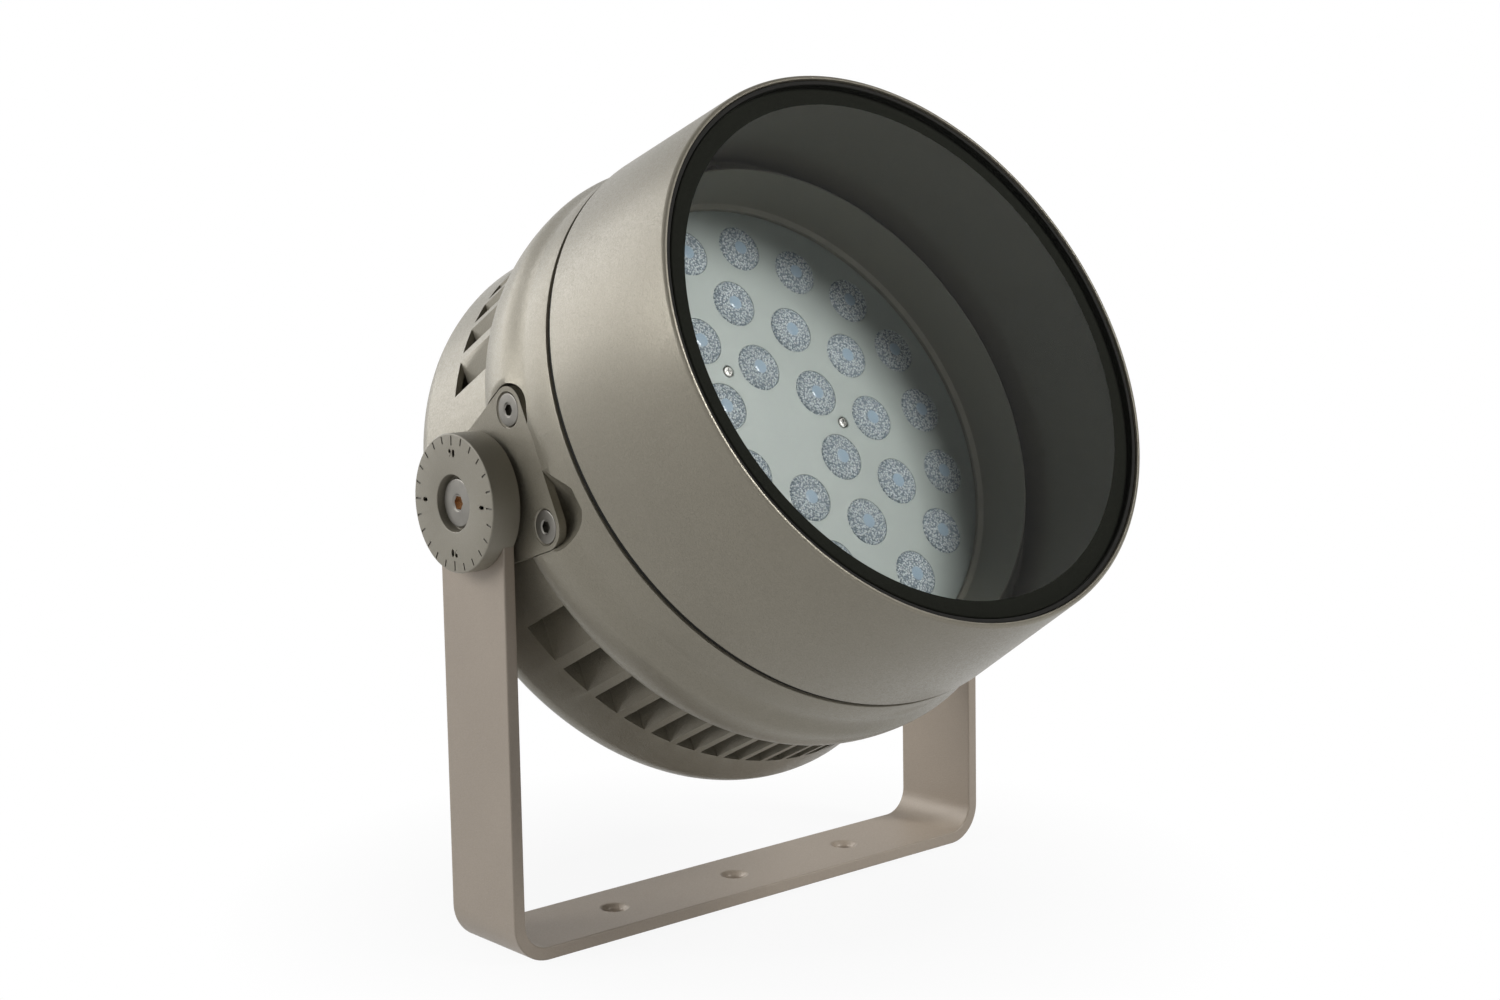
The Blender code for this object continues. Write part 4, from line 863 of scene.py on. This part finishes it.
for number, (x, z) in enumerate(screw_places, 1):
    start = head_point(screw_seat + 0.0001, x, z)
    line = [(-0.0106, 0, 0), (-0.0106, 0.0015, 0), (0, 0.0015, 0), (0, 0.0029, 0.0001),
            (0.0010, 0.0029, 0.0004), (0.0014, 0.0020, 0.0004), (0.0014, 0, 0)]
    name = f"plate_cross_screw_{number}"
    screw = cross_screw(name, line, start, -1, -0.003, -0.0005, 0.0017, 0.0004)
    dress(screw, "head", "bright_steel", [plated], f"plate_screw_{number}")

# Lenses: 36 acrylic optics moulded on one sheet. Each is a pale cup that widens
# towards the plate, closed by a low crown that is pebbled to soften the beam
# and smooth in the middle, over its LED.
crown_radius = 0.0119
crown_rise = 0.0017
sheet_front = 0.0436
acrylic = clear("pebbled_acrylic", (0.95, 0.975, 0.99), 0.09, 1.49)
smooth_acrylic = clear("smooth_acrylic", (0.44, 0.56, 0.68), 0.08, 1.49)
for material in (acrylic, smooth_acrylic):
    material.node_tree.nodes["Principled BSDF"].inputs["Transmission Weight"].default_value = 0.2
tree = acrylic.node_tree
shader = tree.nodes["Principled BSDF"]
place = add_node(tree, "TexCoord")
pebbles = add_node(tree, "TexVoronoi", (), {"Scale": 900.0})
pebble_map = add_node(tree, "MapRange", (),
        {"From Min": 0.22, "From Max": 0.70, "To Min": 1.0, "To Max": 0.0})
# Pale pebble tops and dark gaps in the base colour: painted glints and painted shade on the clear
# crowns.
pebble_glints_and_shade = add_node(tree, "Mix", {"data_type": "RGBA"},
        {"A": (0.24, 0.29, 0.33, 1), "B": (0.84, 0.90, 0.92, 1)})
pebble_bump = add_node(tree, "Bump", (), {"Distance": 0.00025})
join(place, "Object", pebbles, "Vector")
join(pebbles, "Distance", pebble_map, "Value")
join(pebble_map, 0, pebble_glints_and_shade, "Factor")
join(pebble_glints_and_shade, "Result", shader, "Base Color")
join(pebble_map, 0, pebble_bump, "Height")
join(pebble_bump, "Normal", shader, "Normal")
cup_white = coated("optic_cup", (0.36, 0.43, 0.47), 0.45, 0.0, 0.04, 0.00001)
chip_blue = coated("led_chip", (0.34, 0.46, 0.60), 0.25, 0.0, 0.05, 0.00001)

bm = bmesh.new()
add_turned(bm, [(sheet_front - 0.0012, 0), (sheet_front - 0.0012, 0.1135), (0.0413, 0.1135),
        (0.0413, 0.1155), (sheet_front, 0.1155), (sheet_front, 0)], 96, (0, 0, 0), (0, -1, 0))
optics = make_piece("lens_sheet", bm, tilt)
bm = bmesh.new()
for x, z in lens_places:
    add_rod(bm, head_point(0.04, x, z), head_point(0.05, x, z), 0.0102, 48)
carve(optics, bm)
crown_edge = plate_front - 0.0005
bm = bmesh.new()
bm.from_mesh(optics.data)
for x, z in lens_places:
    cup = [(crown_edge, crown_radius - 0.0001), (0.0459, 0.0112), (0.0449, 0.0101), (0.0438, 0.0084),
           (0.0427, 0.0060), (0.0418, 0.0030), (0.0416, 0.0022), (0.0416, 0.0)]
    shell = [(0.0412, 0.0), (0.0412, 0.0032), (0.0436, 0.0103), (0.0450, 0.0113),
             (crown_edge - 0.0003, crown_radius)]
    add_turned(bm, shell + cup, 48, (x, 0, z), (0, -1, 0))
bmesh.ops.recalc_face_normals(bm, faces=bm.faces[:])
bm.to_mesh(optics.data)
bm.free()
dress(optics, "head", "lens_plastic", [cup_white, chip_blue], "lens_array")


def from_lens(x, z):
    return min(math.hypot(u - x, v - z) for u, v in lens_places)


paint_faces(optics, lambda s, x, z: from_lens(x, z) < 0.0026 and s > 0.0414)

pebble_pitch = 0.00125
pebble_rise = 0.00026
smooth_middle = 0.0038
grid_step = pebble_pitch / math.sqrt(3)
reach = int(crown_radius / (pebble_pitch / 2)) + 3
bm = bmesh.new()
rim = set()
for x, z in lens_places:
    grid = {}
    for row in range(-reach, reach + 1):
        for column in range(-reach, reach + 1):
            across = (column + (row % 2) / 2) * grid_step
            up = row * pebble_pitch / 2
            away = math.hypot(across, up)
            if away > crown_radius + grid_step * 0.45:
                continue
            snapped = away > crown_radius - grid_step * 0.45
            share = min(1.0, away / crown_radius)
            raised = (column - row % 2) % 3 == 0 and away > smooth_middle
            station = crown_edge + 0.0003 + crown_rise * math.sqrt(1 - share ** 2)
            if snapped:
                across, up = across * crown_radius / away, up * crown_radius / away
                station = crown_edge + 0.0003
            elif away > smooth_middle - grid_step:
                station += pebble_rise if raised else -pebble_rise / 2
            grid[row, column] = bm.verts.new(head_point(station, x + across, z + up))
            if snapped:
                rim.add(grid[row, column])
    for (row, column), vert in list(grid.items()):
        shift = row % 2
        pairs = (((row, column + 1), (row + 1, column + shift)),
                 ((row + 1, column + shift), (row + 1, column + shift - 1)))
        for one, two in pairs:
            corners = [vert, grid.get(one), grid.get(two)]
            if None not in corners and not rim.issuperset(corners):
                bm.faces.new(corners)
loose = [vert for vert in bm.verts if not vert.link_faces]
bmesh.ops.delete(bm, geom=loose, context="VERTS")
border = [edge for edge in bm.edges if edge.is_boundary]
walls = bmesh.ops.extrude_edge_only(bm, edges=border)["geom"]
for item in walls:
    if isinstance(item, bmesh.types.BMVert):
        item.co.y = -crown_edge
border = [edge for edge in bm.edges if edge.is_boundary]
bmesh.ops.holes_fill(bm, edges=border, sides=0)
crowns = make_piece("lens_crowns", bm, tilt)
dress(crowns, "head", "lens_plastic", [acrylic, smooth_acrylic], "lens_array")
paint_faces(crowns, lambda s, x, z: from_lens(x, z) < smooth_middle - grid_step / 2)

# LED board and the parts in the sealed chambers. They don't show from outside,
# so they keep their plain solids.
board_white = coated("board_white", (0.75, 0.76, 0.74), 0.45, 0.0, 0.05, 0.00002)
driver_black = coated("driver_case", (0.05, 0.05, 0.055), 0.5, 0.0, 0.1, 0.00004)
terminal_ivory = coated("terminal_ivory", (0.65, 0.64, 0.58), 0.5, 0.0, 0.05, 0.00003)
pan_metal = bare_metal("pan_aluminium", (0.45, 0.46, 0.47), 0.45)
brass = bare_metal("plated_brass", (0.55, 0.50, 0.40), 0.3)
for node, material in (("led_board", board_white), ("driver", driver_black),
                       ("terminal_block", terminal_ivory), ("driver_pan", pan_metal),
                       ("driver_gasket", rubber), ("feed_grommet", rubber),
                       ("gland_locknut", brass)):
    dress(frame["nodes"][node], "head", None, [material])

# Rear cover: a die-cast lid with a raised middle, on a black gasket, held by
# six cross-recessed screws.
cover_seat = rear_end - 0.0008 - 2 * gap
cover_back = cover_seat - 0.003
raised_back = cover_back - 0.0024
cover_radius = 0.1373
lid = turned_piece("rear_lid", rounded([
    (cover_seat - 0.0024, 0, 0), (cover_seat - 0.0024, 0.1036, 0), (cover_seat, 0.106, 0),
    (cover_seat, cover_radius, 0), (cover_back, cover_radius, 0.0018), (cover_back, 0.1084, 0.001),
    (raised_back, 0.106, 0.001), (raised_back, 0, 0)], closed=False))
bm = bmesh.new()
for number in range(6):
    x, z = on_clock(cover_circle, 60 * number)
    add_rod(bm, head_point(-0.045, x, z), head_point(-0.06, x, z), cover_hole, 24)
gland_at = (0.0, -0.078)
breather_at = (0.045, -0.060)
for (x, z), radius in ((gland_at, 0.0083), (breather_at, 0.0043)):
    add_rod(bm, head_point(-0.045, x, z), head_point(-0.062, x, z), radius, 48)
carve(lid, bm)
dress(lid, "head", "cast_paint", [cast_paint], "rear_cover")
lid_seal_inner = 0.1357
lid_seal = turned_piece("lid_seal", [
    (cover_seat + gap, lid_seal_inner), (cover_seat + gap, cover_radius),
    (rear_end - gap, cover_radius), (rear_end - gap, lid_seal_inner)])
dress(lid_seal, "head", "black_rubber", [rubber], "rear_gasket")
for number in range(6):
    x, z = on_clock(cover_circle, 60 * number)
    start = head_point(cover_back - gap, x, z)
    line = [(-0.0143, 0, 0), (-0.0143, 0.0021, 0), (0, 0.0021, 0), (0, 0.0042, 0.0002),
            (0.0016, 0.0040, 0.0007), (0.0026, 0.0027, 0.0006), (0.0026, 0, 0)]
    name = f"lid_screw_{number + 1}"
    screw = cross_screw(name, line, start, 1, 0.0012, 0.004, 0.0019, 0.0004)
    dress(screw, "head", "bright_steel", [steel], f"cover_screw_{number + 1}")

# Cable gland in nickel-plated brass, closed with a rubber plug, and a black
# breather plug beside it.
x, z = gland_at
gland_foot = -raised_back + gap
tail = gland_foot + 0.014
cap_start = gland_foot + 0.005 + gap
cap_end = cap_start + 0.016
bm = bmesh.new()
add_turned(bm, [(0.0467, 0.005), (0.0467, 0.008), (gland_foot, 0.008), (gland_foot, 0.009),
        (tail, 0.009), (tail, 0.005)], 48, (x, 0, z), (0, 1, 0))
body = make_piece("gland_stem", bm, tilt)
bm = bmesh.new()
add_turned(bm, [(gland_foot + gap, 0.008), (gland_foot + gap, 0.013), (gland_foot + 0.005, 0.013),
        (gland_foot + 0.005, 0.008)], 6, (x, 0, z), (0, 1, 0))
carve(body, bm, "UNION")
soften(body, 0.0004)
dress(body, "head", "gland_brass", [brass], "gland_body")
bm = bmesh.new()
add_turned(bm, rounded([(cap_start, 0.0093, 0), (cap_start, 0.012, 0.0006),
        (cap_end - 0.005, 0.012, 0.002), (cap_end - 0.001, 0.0085, 0.001),
        (cap_end, 0.0075, 0.0003), (cap_end, 0.0053, 0), (cap_end - 0.004, 0.0053, 0),
        (tail + gap, 0.0093, 0)]), 48, (x, 0, z), (0, 1, 0))
dome = make_piece("gland_dome_nut", bm, tilt)
bm = bmesh.new()
for number in range(6):
    angle = math.radians(60 * number)
    out = Vector((math.cos(angle), 0, math.sin(angle)))
    along = Vector((-math.sin(angle), 0, math.cos(angle)))
    base = Vector((x, cap_start - 0.002, z)) + out * 0.0114
    add_slab(bm, [base - along * 0.008, base + along * 0.008, base + along * 0.008 + out * 0.004,
            base - along * 0.008 + out * 0.004], Vector((0, 0.011, 0)))
carve(dome, bm)
dress(dome, "head", "gland_brass", [brass], "gland_cap")
bm = bmesh.new()
add_turned(bm, [(0.0467, 0), (0.0467, 0.0047), (cap_end - 0.0015, 0.0047), (cap_end - 0.0015, 0)],
           48, (x, 0, z), (0, 1, 0))
dress(make_piece("gland_blank", bm, tilt), "head", "black_rubber", [rubber], "gland_plug")
x, z = breather_at
bm = bmesh.new()
add_turned(bm, rounded([(0.0510, 0, 0), (0.0510, 0.004, 0), (gland_foot, 0.004, 0),
        (gland_foot, 0.007, 0), (gland_foot + 0.004, 0.007, 0.001),
        (gland_foot + 0.004, 0, 0)], closed=False), 48, (x, 0, z), (0, 1, 0))
dress(make_piece("breather", bm, tilt), "head", "black_rubber", [rubber], "vent_plug")

# Studio: a pale floor that runs to a white background, two large soft lamps
# behind and to the left, and a smaller one in front.
floor_white, tree, shader = start_material("studio_floor",
        {"Base Color": (0.60, 0.60, 0.60, 1), "Roughness": 1.0, "Specular IOR Level": 0.0})
glow = add_node(tree, "Emission", (), {"Strength": 1.0})
path = add_node(tree, "LightPath")
seen = add_node(tree, "Math", {"operation": "MAXIMUM"})
seen_all = add_node(tree, "Math", {"operation": "MAXIMUM"})
place = add_node(tree, "TexCoord")
away = add_node(tree, "VectorMath", {"operation": "LENGTH"})
fade = add_node(tree, "MapRange", (),
        {"From Min": 0.10, "From Max": 0.26, "To Min": 0.91, "To Max": 1.0})
share = add_node(tree, "Math", {"operation": "MULTIPLY"})
choose = add_node(tree, "MixShader")
join(path, "Is Camera Ray", seen, 0)
join(path, "Is Glossy Ray", seen, 1)
join(seen, 0, seen_all, 0)
join(path, "Is Transmission Ray", seen_all, 1)
join(place, "Object", away, 0)
join(away, "Value", fade, "Value")
join(seen_all, 0, share, 0)
join(fade, 0, share, 1)
join(share, 0, choose, 0)
join(shader, 0, choose, 1)
join(glow, 0, choose, 2)
join(choose, 0, tree.nodes["Material Output"], "Surface")
bm = bmesh.new()
bmesh.ops.create_grid(bm, x_segments=1, y_segments=1, size=6.0)
floor = make_piece("studio_floor", bm)
floor.data.materials.append(floor_white)

world = bpy.data.worlds.new("studio")
bpy.context.scene.world = world
world.use_nodes = True
tree = world.node_tree
tree.nodes.clear()
direction = add_node(tree, "TexCoord")
dark_side = add_node(tree, "VectorMath", {"operation": "DOT_PRODUCT"},
        {1: (0.64, -0.53, 0.55)})
dimming = add_node(tree, "MapRange", {"interpolation_type": "SMOOTHSTEP"},
        {"From Min": -0.2, "From Max": 0.8, "To Min": 1.0, "To Max": 0.10})
soft_light = add_node(tree, "Background", (), {"Color": (1, 1, 1, 1)})
level = add_node(tree, "Math", {"operation": "MULTIPLY"}, {1: 0.14})
white = add_node(tree, "Background", (), {"Color": (1, 1, 1, 1), "Strength": 1.0})
mirrored = add_node(tree, "Background", (), {"Color": (1, 1, 1, 1)})
path = add_node(tree, "LightPath")
first = add_node(tree, "MixShader")
second = add_node(tree, "MixShader")
seen = add_node(tree, "Math", {"operation": "MAXIMUM"})
world_out = add_node(tree, "OutputWorld")
join(direction, "Generated", dark_side, 0)
join(dark_side, "Value", dimming, "Value")
join(dimming, 0, level, 0)
join(level, 0, soft_light, "Strength")
join(dimming, 0, mirrored, "Strength")
join(path, "Is Glossy Ray", first, 0)
join(soft_light, 0, first, 1)
join(mirrored, 0, first, 2)
join(path, "Is Camera Ray", seen, 0)
join(path, "Is Transmission Ray", seen, 1)
join(seen, 0, second, 0)
join(first, 0, second, 1)
join(white, 0, second, 2)
join(second, 0, world_out, "Surface")


def soft_lamp(name, spot, size, power, aim=(0, 0, 0.2)):
    data = bpy.data.lights.new(name, "AREA")
    data.shape = "DISK"
    data.size = size
    data.energy = power
    lamp = bpy.data.objects.new(name, data)
    lamp.location = spot
    lamp.rotation_euler = (Vector(spot) - Vector(aim)).to_track_quat("Z", "Y").to_euler()
    bpy.context.scene.collection.objects.link(lamp)


soft_lamp("rear_lamp", (-0.80, 2.0, 1.10), 1.7, 19)
soft_lamp("side_lamp", (-2.1, 1.0, 1.3), 1.4, 24)
soft_lamp("front_lamp", (0.80, -1.65, 1.52), 0.7, 32)

# Camera at the photograph's angle, from a fit of the yoke, the rims, the seam
# and the lenses.
azimuth = math.radians(-40.54)
elevation = math.radians(6.58)
roll = math.radians(-1.05)
back = Vector((math.sin(azimuth) * math.cos(elevation),
        -math.cos(azimuth) * math.cos(elevation), math.sin(elevation)))
right = Vector((math.cos(azimuth), math.sin(azimuth), 0))
up = back.cross(right)
turned_right = right * math.cos(roll) + up * math.sin(roll)
turned_up = up * math.cos(roll) - right * math.sin(roll)
frame_width = 1500
frame_height = 1000
focal_length = 2151.85
middle_x = 726.99
middle_y = 471.54
camera_distance = 1.05958
camera_data = bpy.data.cameras.new("camera")
camera_data.sensor_width = 36.0
camera_data.lens = focal_length / frame_width * 36.0
camera_data.shift_x = (frame_width / 2 - middle_x) / frame_width
camera_data.shift_y = (middle_y - frame_height / 2) / frame_width
camera = bpy.data.objects.new("camera", camera_data)
bpy.context.scene.collection.objects.link(camera)
spot = pivot + back * camera_distance
camera.matrix_world = Matrix(((turned_right.x, turned_up.x, back.x, spot.x),
        (turned_right.y, turned_up.y, back.y, spot.y),
        (turned_right.z, turned_up.z, back.z, spot.z), (0, 0, 0, 1)))
bpy.context.scene.camera = camera
bpy.context.scene.view_settings.view_transform = "Standard"
